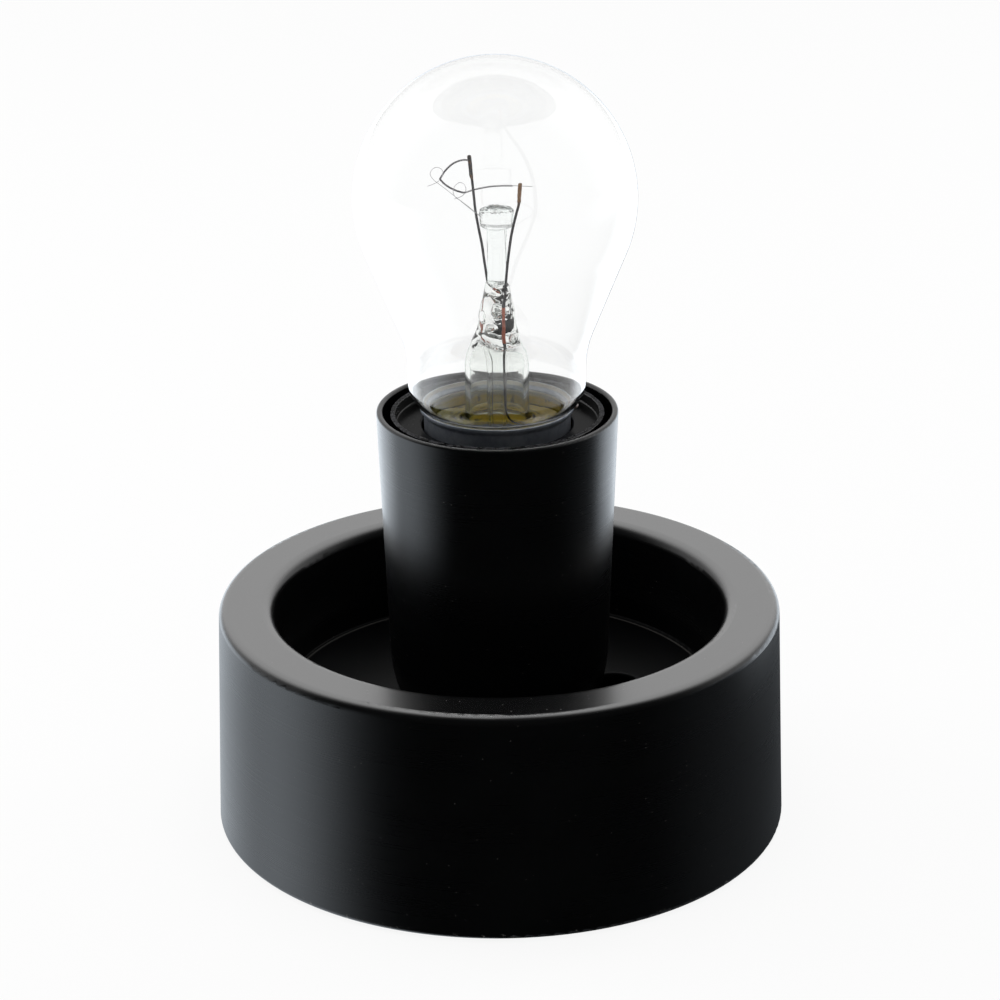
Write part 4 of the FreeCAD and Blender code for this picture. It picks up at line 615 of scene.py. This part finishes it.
class LAMP_OT_bulb_glass(bpy.types.Operator):
    """Blow the bulb's clear glass with its slightly uneven neck"""
    bl_idname = "lamp.bulb_glass"
    bl_label = "Bulb glass"

    def execute(self, context):
        bulb = settings(context).bulb
        slope = math.radians(21.8)
        crown = [Vector((bulb.globe_radius * math.cos(t), bulb.globe_height + bulb.globe_radius * math.sin(t)))
                 for t in (math.pi / 2 - (math.pi / 2 + slope) * k / 64 for k in range(65))]
        crown[0].x = 0
        join = crown[-1]
        corner = join.y - (join.x - bulb.neck_radius) / math.tan(slope)
        shoulder, taper = 83.7, math.radians(55)
        throat = shoulder - (bulb.neck_radius - bulb.throat_radius) / math.tan(taper)
        neck = rounded([(join.x, join.y, 0), (bulb.neck_radius, corner, 19.3), (bulb.neck_radius, shoulder, 5),
                        (bulb.throat_radius, throat, 1), (bulb.throat_radius, GLASS_FOOT, 0)])
        outer = even(crown + neck[1:], 0.9)
        inner = inward(outer, bulb.wall)
        inner[0] = Vector((0, outer[0].y - bulb.wall))
        inner[-1] = Vector((outer[-1].x - bulb.wall, outer[-1].y))

        def blown(point):
            """Neck a little out of round; the crown as it is."""
            flat = Vector((point.x, point.y, 0))
            if flat.length <= 1:
                return point
            amount = bulb.unevenness * window(point.z, 85.0, 97.0, 3.0)
            return point + flat.normalized() * amount * ripple((point.x, point.y, point.z * 0.8), 0.11, 4.0)

        mesh = bmesh.new()
        lathe(mesh, outer + inner[::-1], 144, blown)
        glass = clear_glass("bulb_glass", (0.994, 0.997, 0.996, 1), (0.90, 0.93, 0.92, 1), 0.003, 0.10, 0.84, 1.0)
        piece = into_scene("clear_bulb", mesh, glass)
        belongs(piece, "bulb", "clear_glass", "bulb_glass")
        return {"FINISHED"}


class LAMP_OT_stem(bpy.types.Operator):
    """Press the stem: its flare, tube and folded pinch with bubbles, and its exhaust tube"""
    bl_idname = "lamp.stem"
    bl_label = "Stem and pinch"

    # Height, and the reach along and across the pinch.
    STATIONS = [(STEM_ROUND, 5.85, 5.85), (89.9, 5.85, 5.83), (91.05, 5.78, 5.66), (92.4, 5.60, 5.30),
                (93.1, 5.50, 4.72), (93.8, 5.40, 4.20), (94.6, 5.28, 3.68), (95.3, 5.18, 3.35), (96.2, 5.05, 3.02),
                (98.3, 4.72, 2.66), (100.2, 4.35, 2.42), (101.4, 4.08, 2.25), (102.5, 3.80, 1.98),
                (103.7, 3.48, 1.74), (104.9, 3.10, 1.70)]
    # Middle, and the reach across, along and up.
    BUBBLES = [((0.78, -1.10, 100.44), (1.25, 0.95, 1.35)), ((-0.52, -1.20, 97.19), (1.55, 0.90, 0.85)),
               ((-2.20, 0.10, 98.80), (0.75, 1.10, 1.30)), ((2.50, -2.30, 95.46), (0.70, 0.95, 1.10)),
               ((0.33, 0.60, 102.96), (0.80, 0.80, 0.60))]

    def execute(self, context):
        stem = settings(context).stem
        turn, tube, wall = stem.pinch_turn, stem.tube_radius, stem.tube_wall
        along, across = Vector((math.cos(turn), math.sin(turn), 0)), Vector((-math.sin(turn), math.cos(turn), 0))
        around = 128

        def section(height):
            for low, high in zip(self.STATIONS, self.STATIONS[1:]):
                if low[0] <= height <= high[0]:
                    t = (height - low[0]) / (high[0] - low[0])
                    return low[1] + (high[1] - low[1]) * t, low[2] + (high[2] - low[2]) * t
            return self.STATIONS[-1][1:]

        def folded(point):
            """Out of the round into the pinch, with ridges and dents."""
            flat = Vector((point.x, point.y, 0))
            if point.z < STEM_ROUND or flat.length < 1e-6:
                return point
            share = flat.length / tube
            angle = math.atan2(flat.dot(across), flat.dot(along))
            long, short = section(point.z)
            power = 2 + 0.5 * window(point.z, 94.5, 103.5, 2.0)
            unit = (abs(math.cos(angle)) ** power + abs(math.sin(angle)) ** power) ** (-1 / power)
            made = (along * math.cos(angle) * long + across * math.sin(angle) * short) * unit * share
            fold = 0.85 * ripple((made.x, made.y, point.z), 0.30, 9.0)
            fold += 0.25 * ripple((made.x, made.y, point.z * 0.7), 0.8, 3.0)
            made += made.normalized() * stem.fold_depth * fold * 1.6 * window(point.z, 94.6, 105.5, 1.3) * share
            return Vector((made.x + LEAN * window(point.z, 97.0, 110.0, 5.0), made.y, point.z))

        outer = [(11.95, FLARE_RIM), (9.0, 78.45), (7.3, 78.72), (6.4, 79.3), (5.98, 80.2), (tube, 81.6), (tube, 85.2)]
        height = 85.5
        while height < 104.9:
            outer.append((tube, height))
            height += 0.24
        outer += [(tube * share, top) for share, top in ((0.93, 105.10), (0.72, 105.28), (0.4, 105.4), (0, 105.42))]
        bore = tube - wall
        inner = [(11.95, GLASS_FOOT), (8.8, 77.1), (6.7, 77.5), (5.55, 78.4), (5.1, 79.8), (bore, 81.6)]
        inner += [(bore * share, top) for share, top in ((1, 90.2), (0.98, 91.2), (0.93, 92.2), (0.87, 93.0),
                                                         (0.76, 93.6), (0.56, 94.05), (0.30, 94.3), (0, 94.4))]
        mesh = bmesh.new()
        for line in (inner[::-1], outer):
            lathe(mesh, even([Vector(p) for p in line], 0.5), around, folded)
        bmesh.ops.remove_doubles(mesh, verts=mesh.verts, dist=1e-7)
        edges = [[v for v in mesh.verts if abs(v.co.z - level * MM) < 1e-6] for level in (GLASS_FOOT, FLARE_RIM)]
        skin(mesh, [sorted(ring, key=lambda v: math.atan2(v.co.y, v.co.x)) for ring in edges])
        bmesh.ops.recalc_face_normals(mesh, faces=mesh.faces)
        for centre, radii in self.BUBBLES:
            def squeezed(point, centre=Vector(centre), radii=radii):
                swell = 1 + 0.16 * ripple(point, 1.1, centre.x * 3)
                flat = Matrix.Rotation(turn, 3, "Z") @ Vector((point.x * radii[1], point.y * radii[0], 0))
                return centre + Vector((flat.x, flat.y, point.z * radii[2])) * swell

            hole = bmesh.new()
            lathe(hole, half_circle(20), 36, squeezed)
            bmesh.ops.recalc_face_normals(hole, faces=hole.faces)
            bmesh.ops.reverse_faces(hole, faces=hole.faces)
            data = bpy.data.meshes.new("bubble")
            hole.to_mesh(data)
            hole.free()
            mesh.from_mesh(data)
            bpy.data.meshes.remove(data)
        glass = clear_glass("stem_glass", (0.966, 0.980, 0.964, 1), (0.32, 0.45, 0.38, 1), 0.004, 0.35, 0.66, 0.97)
        piece = into_scene("pressed_stem", mesh, glass, outward=False)
        belongs(piece, "bulb", "clear_glass", "stem_flare")
        tube_glass = clear_glass("tube_glass", (0.985, 0.992, 0.988, 1), (0.60, 0.66, 0.64, 1), 0.003, 0.3, 0.75, 1.0)
        dress(tube_glass, "exhaust_tube")
        return {"FINISHED"}


class LAMP_OT_rod(bpy.types.Operator):
    """Draw the glass rod and its rough-topped button"""
    bl_idname = "lamp.rod"
    bl_label = "Rod and button"

    def execute(self, context):
        stem = settings(context).stem
        rod, button = stem.rod_radius, stem.button_radius
        line = rounded([(0, 104.95, 0), (rod, 104.95, 0.2), (rod, 115.6, 0.35), (button - 0.08, 115.8, 0.45),
                        (button, 119.0, 0.35), (0, 119.05, 0)])
        line[0].x = line[-1].x = 0

        def drawn(point):
            flat = Vector((point.x, point.y, 0))
            top = window(point.z, 118.3, 120.0, 0.7)
            lift = 0.16 * ripple(point, 1.6, 5.0) + 0.10 * ripple(point, 3.6, 8.0)
            side = 0.035 * ripple(point, 0.45, 6.0) + 0.05 * top * ripple(point, 2.2, 1.0)
            slant = 0.45 * point.y * window(point.z, 104.0, 105.0, 0.9) * (flat.length / rod) * 0.35
            lift *= top
            if flat.length >= button - 0.1:
                lift *= 0.4
            return point + Vector((flat.x * side + LEAN, flat.y * side, lift + slant))

        mesh = bmesh.new()
        lathe(mesh, even(line, 0.14), 96, drawn)
        glass = clear_glass("rod_glass", (0.965, 0.985, 0.975, 1), (0.24, 0.46, 0.40, 1), 0.004, 0.4, 0.66, 0.97)
        piece = into_scene("glass_rod", mesh, glass)
        belongs(piece, "bulb", "clear_glass", "arbor_rod")
        return {"FINISHED"}


class LAMP_OT_leads(bpy.types.Operator):
    """Bend the two lead wires with their flattened crimps, and finish the wires of seal and cap"""
    bl_idname = "lamp.leads"
    bl_label = "Lead wires"

    LEFT = [(-1.23, 2.52, 101.55), (-1.38, 2.62, 103.35), (-1.70, 2.91, 105.72), (-2.09, 3.70, 108.36),
            (-2.44, 4.47, 110.96), (-3.02, 5.36, 113.86), (-3.53, 6.19, 116.75), (-3.81, 7.00, 119.45),
            (-4.09, 7.81, 122.21), (-4.26, 8.12, 123.15), (-4.40, 8.60, 124.83), (-4.58, 9.06, 126.43)]
    RIGHT = [(1.23, -2.52, 101.55), (1.32, -2.48, 102.57), (1.54, -2.60, 103.82), (1.75, -3.30, 106.43),
             (2.00, -4.16, 109.59), (2.33, -5.20, 112.80), (2.72, -6.16, 115.89), (3.19, -6.95, 118.38),
             (3.66, -7.63, 120.53), (4.06, -8.25, 122.34), (4.15, -8.90, 124.15), (4.29, -9.45, 126.36)]

    def execute(self, context):
        radius = settings(context).wires.lead_radius

        def hammered(share, here):
            flat = window(here.z, 122.9, 127.2, 0.5)
            dent = 0.05 * ripple(here, 1.4, 2.0) * flat
            thick = radius * (1 + 0.30 * flat) + dent + 0.02 * ripple(here, 0.9, 7.0)
            return radius * (1 + 0.62 * flat) + dent, thick

        for name, node, points, brown in (("left_lead_wire", "left_lead", self.LEFT, 0.35),
                                          ("right_lead_wire", "right_lead", self.RIGHT, 0.9)):
            mesh = bmesh.new()
            wire_mesh(mesh, smooth_run(points, 10), hammered, 14)
            piece = into_scene(name, mesh, lead_nickel(name, brown))
            belongs(piece, "bulb", "nickel_wire", node)
        dress(seal_copper(), "seal_wires")
        dark = dull_metal("outer_lead_wire", (0.055, 0.052, 0.05, 1), (0.018, 0.017, 0.016, 1), 0.35, scale=2.0)
        dress(dark, "side_lead", "centre_lead")
        return {"FINISHED"}


class LAMP_OT_filament(bpy.types.Operator):
    """Coil the filament from crimp to crimp through the two supports"""
    bl_idname = "lamp.filament"
    bl_label = "Filament"

    SPANS = [[(-4.51, 8.88, 125.63), (-5.86, 7.75, 125.97), (-7.47, 5.88, 125.88), (-8.86, 3.20, 125.34),
              (-9.70, 0.62, 124.73)],
             [(-9.84, 0.20, 124.65), (-9.13, -1.75, 124.41), (-8.15, -3.85, 124.28), (-6.90, -6.10, 124.30),
              (-5.77, -7.92, 124.47)],
             [(-5.35, -8.20, 124.55), (-3.53, -8.30, 125.14), (-0.95, -8.32, 125.61), (1.16, -8.50, 125.78),
              (2.96, -8.66, 125.81)]]
    TAIL = [(2.85, -8.65, 125.81), (3.55, -8.85, 125.85), (4.24, -9.12, 125.88), (5.34, -9.35, 125.89),
            (6.41, -9.60, 125.91)]
    HEAD = [(-4.56, 9.02, 125.61), (-4.54, 8.95, 125.62), (-4.49, 8.86, 125.63)]

    def execute(self, context):
        sizes = settings(context).wires
        line = [p for span in self.SPANS for p in smooth_run(span, 8)]
        path = bpy.data.curves.new("filament_path", "CURVE")
        path.dimensions = "3D"
        spline = path.splines.new("POLY")
        spline.points.add(len(line) - 1)
        for point, place in zip(spline.points, line):
            point.co = (*(place * MM), 1)
        carrier = bpy.data.objects.new("filament_path", path)
        context.scene.collection.objects.link(carrier)
        tungsten = dull_metal("tungsten", (0.20, 0.19, 0.20, 1), (0.12, 0.11, 0.12, 1), 0.34, scale=3.0)
        tree, sockets = self.coil_tree()
        modifier = carrier.modifiers.new("coil", "NODES")
        modifier.node_group = tree
        for name, value in (("Coil radius", sizes.coil_radius * MM), ("Wire radius", sizes.coil_wire * MM),
                            ("Pitch", sizes.coil_pitch * MM), ("Metal", tungsten)):
            modifier[sockets[name]] = value
        ready = carrier.evaluated_get(context.evaluated_depsgraph_get())
        data = bpy.data.meshes.new_from_object(ready)
        carrier.modifiers.remove(modifier)
        bpy.data.objects.remove(carrier)
        if not data.polygons:
            raise RuntimeError("the filament's coil came out empty")
        data.polygons.foreach_set("use_smooth", [True] * len(data.polygons))
        mesh = bmesh.new()
        mesh.from_mesh(data)
        wire_mesh(mesh, smooth_run(self.TAIL, 6), lambda share, here: (0.045, 0.045), 8)
        wire_mesh(mesh, smooth_run(self.HEAD, 3), lambda share, here: (0.05, 0.05), 8)
        piece = into_scene("coiled_filament", mesh, tungsten)
        belongs(piece, "bulb", "tungsten", "filament")
        return {"FINISHED"}

    def coil_tree(self):
        """Nodes that wind a fine wire round the path."""
        tree = bpy.data.node_groups.new("filament_coil", "GeometryNodeTree")
        tree.is_modifier = True
        sockets = {}
        tree.interface.new_socket("Path", in_out="INPUT", socket_type="NodeSocketGeometry")
        for name, kind in (("Coil radius", "Float"), ("Wire radius", "Float"), ("Pitch", "Float"), ("Metal", "Material")):
            made = tree.interface.new_socket(name, in_out="INPUT", socket_type="NodeSocket" + kind)
            sockets[name] = made.identifier
        tree.interface.new_socket("Coil", in_out="OUTPUT", socket_type="NodeSocketGeometry")
        b = Bench(tree)
        given = b.node("NodeGroupInput", output="Path")
        pitch = given.output("Pitch")
        fine = b.node("GeometryNodeResampleCurve", {"mode": "LENGTH"}, {"Curve": given, "Length": pitch / 12.0})
        angle = b.node("GeometryNodeSplineParameter", output="Length") / pitch * TURN
        cosine, sine = (b.node("ShaderNodeMath", {"operation": kind}, {0: angle}) for kind in ("COSINE", "SINE"))
        normal, tangent = b.node("GeometryNodeInputNormal"), b.node("GeometryNodeInputTangent")
        other = b.node("ShaderNodeVectorMath", {"operation": "CROSS_PRODUCT"}, {0: tangent, 1: normal})
        radius = given.output("Coil radius")
        one, two = (b.node("ShaderNodeVectorMath", {"operation": "SCALE"}, {0: way, "Scale": share * radius})
                    for way, share in ((normal, cosine), (other, sine)))
        offset = b.node("ShaderNodeVectorMath", {"operation": "ADD"}, {0: one, 1: two})
        wound = b.node("GeometryNodeSetPosition", None, {"Geometry": fine, "Offset": offset})
        ring = b.node("GeometryNodeCurvePrimitiveCircle", {"mode": "RADIUS"},
                      {"Resolution": 6, "Radius": given.output("Wire radius")})
        body = b.node("GeometryNodeCurveToMesh", None, {"Curve": wound, "Profile Curve": ring, "Fill Caps": True})
        real = b.node("GeometryNodeRealizeInstances", None, {0: body})
        painted = b.node("GeometryNodeSetMaterial", None, {"Geometry": real, "Material": given.output("Metal")})
        b.node("NodeGroupOutput", None, {0: painted})
        return tree, sockets


class LAMP_OT_supports(bpy.types.Operator):
    """Hang the two fine supports with their open loops and tails"""
    bl_idname = "lamp.supports"
    bl_label = "Filament supports"

    ROUTES = [[(-2.20, -0.30, 117.63), (-4.07, -0.25, 118.85), (-6.85, -0.05, 121.19), (-9.22, 0.12, 123.11),
               (-10.43, 0.20, 124.06), (-11.20, 0.25, 124.78), (-11.54, 0.30, 125.57), (-11.18, 0.40, 126.37),
               (-10.38, 0.50, 126.72), (-9.59, 0.58, 126.40), (-9.26, 0.60, 125.81), (-9.38, 0.60, 125.05),
               (-9.85, 0.58, 124.41), (-10.42, 0.50, 123.94), (-11.21, 0.40, 123.59), (-12.05, 0.30, 123.34)],
              [(-2.15, -0.95, 117.58), (-3.20, -2.30, 118.80), (-4.82, -4.70, 120.97), (-6.12, -6.70, 122.58),
               (-6.87, -7.60, 123.39), (-7.34, -7.75, 124.04), (-7.42, -7.80, 124.74), (-7.10, -7.70, 125.63),
               (-6.30, -7.60, 126.20), (-5.56, -7.60, 125.91), (-5.21, -7.60, 125.16), (-5.30, -7.65, 124.47),
               (-5.67, -7.72, 123.97), (-6.33, -7.85, 123.60), (-7.26, -8.00, 123.35)]]

    def execute(self, context):
        radius = settings(context).wires.support_radius
        mesh = bmesh.new()
        for route in self.ROUTES:
            wire_mesh(mesh, smooth_run(route, 6), lambda share, here: (radius, radius), 8)
        molybdenum = dull_metal("molybdenum", (0.55, 0.54, 0.55, 1), (0.42, 0.41, 0.42, 1), 0.30, scale=3.0)
        piece = into_scene("support_wires", mesh, molybdenum)
        belongs(piece, "bulb", "tungsten", "filament_supports")
        return {"FINISHED"}


class LAMP_OT_cap(bpy.types.Operator):
    """Finish the cap and its glass insulator, run its solder, and pour the basing cement"""
    bl_idname = "lamp.cap"
    bl_label = "Cap, solder and cement"

    def execute(self, context):
        colours = settings(context).colours
        dress(rolled_cap(tuple(colours.cap_metal)), "cap_shell")
        dress(moulded("black_glass", (0.02, 0.02, 0.025, 1), (0.03, 0.03, 0.04, 1), 0.10, relief=0.02), "cap_insulator")
        dress(basing_cement(tuple(colours.cement)), "basing_cement")

        low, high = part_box("cap_side_solder")
        centre, half = (low + high) / 2 * 1000, (high - low) / 2 * 1000

        def drop(point):
            lump = 0.80 + 0.17 * ripple(point, 1.3, 2.0) + 0.06 * ripple(point, 3.4, 5.0)
            return centre + Vector((point.x * half.x, point.y * half.y, point.z * half.z)) * min(lump, 0.99)

        mesh = bmesh.new()
        lathe(mesh, half_circle(40), 64, drop)
        piece = into_scene("solder_drop", mesh, soft_solder())
        belongs(piece, "bulb", "solder", "cap_side_solder")
        return {"FINISHED"}


class LAMP_OT_studio(bpy.types.Operator):
    """Set the pale floor, the soft lights, the white background and the camera"""
    bl_idname = "lamp.studio"
    bl_label = "Studio"

    # Name, place, aim, width and height in metres, and power in watts.
    LIGHTS = (("window_left", (-0.85, 0.30, 0.40), (0, 0, 0.07), 0.55, 0.80, 4.0),
              ("strip_right", (0.75, 0.50, 0.35), (0, 0, 0.07), 0.22, 0.70, 1.6),
              ("top_soft", (0.0, 0.10, 1.30), (0, 0, 0.05), 0.80, 0.80, 6.0))
    EYE = (-0.00508, -0.5504, 0.2828)     # metres
    LENS = 115.1                          # mm, for a picture 36 mm wide
    ASIDE, DOWN, ROLLED = -0.565, 21.77, -0.538    # degrees

    def execute(self, context):
        scene = context.scene
        floor = bmesh.new()
        bmesh.ops.create_grid(floor, x_segments=1, y_segments=1, size=6.0)
        sheet = into_scene("floor", floor, self.floor_finish(tuple(settings(context).colours.floor)), outward=False)
        self.sky(scene)
        for name, place, aim, wide, tall, power in self.LIGHTS:
            lamp = bpy.data.lights.new(name, "AREA")
            lamp.shape, lamp.size, lamp.size_y, lamp.energy = "RECTANGLE", wide, tall, power
            stand = bpy.data.objects.new(name, lamp)
            stand.location = place
            stand.rotation_euler = (Vector(aim) - Vector(place)).to_track_quat("-Z", "Y").to_euler()
            stand.visible_glossy = stand.visible_transmission = False
            scene.collection.objects.link(stand)
        eye = bpy.data.cameras.new("camera")
        eye.lens, eye.sensor_width, eye.clip_start, eye.clip_end = self.LENS, 36.0, 0.01, 50.0
        view = bpy.data.objects.new("camera", eye)
        view.location = self.EYE
        turned, raised, rolled = (Matrix.Rotation(math.radians(angle), 3, axis) for angle, axis in
                                  ((self.ASIDE, "Z"), (90 - self.DOWN, "X"), (self.ROLLED, "Z")))
        view.rotation_euler = (turned @ raised @ rolled).to_euler()
        scene.collection.objects.link(view)
        scene.camera = view
        scene.view_settings.view_transform = "Standard"
        scene.cycles.max_bounces = 24
        scene.cycles.transmission_bounces = 24
        scene.cycles.transparent_max_bounces = 16
        return {"FINISHED"}

    def floor_finish(self, colour):
        """Pale floor: white where it is seen, and in gloss a bright left side with the far floor white."""
        material, b = finish("floor", colour)
        _, x, y, _ = b.place()
        path = b.node("ShaderNodeLightPath", output="Is Camera Ray")
        through = path.output("Is Transmission Ray")
        away = reach(x, y)
        came = b.node("ShaderNodeSeparateXYZ", None, {0: b.node("ShaderNodeNewGeometry", output="Incoming")}, "X")
        level = reach(came, came.output("Y"))
        side, back = came / level, -1.0 * came.output("Y") / level
        wide = b.span(away, 130.0, 165.0)
        left = b.span(side, -0.1, 0.3) * (b.span(back, -0.68, 0.05) * 1.65 * (1 - b.span(back, 0.15, 0.5) * 0.38)
                                          + b.span(back, 0.35, 0.65) * wide * 1.3)
        right = b.span(side, -0.1, -0.3) * (b.span(back, -0.6, 0.2) * 0.08 + b.span(back, 0.25, 0.6) * wide * 2.0)
        far = b.span(away, 260.0, 700.0) * b.span(back, -0.4, 0.2)
        plain = b.node("ShaderNodeBsdfDiffuse", None, {"Color": colour})
        white = b.node("ShaderNodeEmission", None, {"Color": (1, 1, 1, 1), "Strength": 1.0})
        lit = b.node("ShaderNodeEmission", None,
                     {"Color": (0.92, 1.0, 1.08, 1), "Strength": (0.01 + left + right).most(far)})
        inside = path.output("Transmission Depth") > 0.5
        shown = b.blend(path.most(through).most(inside) * 0.90, plain, white)
        gloss = path.output("Is Glossy Ray") * (1 - through) * (1 - inside)
        seal(b, b.blend(gloss, shown, lit))
        return material

    def sky(self, scene):
        """White where it is seen and from inside the glass, soft for the light, and dark in front for gloss."""
        world = bpy.data.worlds.new("studio")
        scene.world = world
        world.use_nodes = True
        b = Bench(world.node_tree)
        soft, white, dark = (b.node("ShaderNodeBackground", None, {"Color": (1, 1, 1, 1), "Strength": strength})
                             for strength in (0.45, 1.0, 0.03))
        path = b.node("ShaderNodeLightPath", output="Is Camera Ray")
        up = b.node("ShaderNodeSeparateXYZ", None, {0: b.node("ShaderNodeTexCoord", output="Generated")}, "Z")
        through = path.output("Is Transmission Ray")
        inside = path.output("Transmission Depth") > 0.5
        deep = (path.output("Transmission Depth") > 4.5) * (path.output("Diffuse Depth") < 0.5)
        gloss = path.output("Is Glossy Ray") * (1 - through) * b.span(up.output("Y"), -0.25, 0.35)
        dim = b.blend(path.output("Is Glossy Ray").most(through), soft, dark)
        other = gloss.most(inside) * (1 - deep * b.span(up, 0.50, 0.90) * 0.5)
        b.node("ShaderNodeOutputWorld", None, {"Surface": b.blend(path.most(other), dim, white)})


STEPS = (LAMP_OT_lacquer, LAMP_OT_holder, LAMP_OT_fittings, LAMP_OT_bulb_glass, LAMP_OT_stem, LAMP_OT_rod, LAMP_OT_leads,
         LAMP_OT_filament, LAMP_OT_supports, LAMP_OT_cap, LAMP_OT_studio)


class LAMP_PT_panel(bpy.types.Panel):
    """Lists the lamp's pieces in the sidebar"""
    bl_idname = "LAMP_PT_panel"
    bl_label = "Bare bulb table lamp"
    bl_space_type = "VIEW_3D"
    bl_region_type = "UI"
    bl_category = "Lamp"

    def draw(self, context):
        lamp = settings(context)
        for title, group in (("Bulb", lamp.bulb), ("Stem", lamp.stem), ("Wires", lamp.wires), ("Colours", lamp.colours)):
            box = self.layout.box()
            box.label(text=title)
            for name in group.__annotations__:
                box.prop(group, name)
        for step in STEPS:
            self.layout.operator(step.bl_idname)


CLASSES = (BulbSizes, StemSizes, WireSizes, LampColours, LampSettings, *STEPS, LAMP_PT_panel)


def register():
    for each in CLASSES:
        bpy.utils.register_class(each)
    bpy.types.Scene.bare_bulb_lamp = PointerProperty(type=LampSettings)


def unregister():
    del bpy.types.Scene.bare_bulb_lamp
    for each in reversed(CLASSES):
        bpy.utils.unregister_class(each)


def main():
    register()
    for step in STEPS:
        group, name = step.bl_idname.split(".")
        getattr(getattr(bpy.ops, group), name)()


if __name__ == "__main__":
    main()
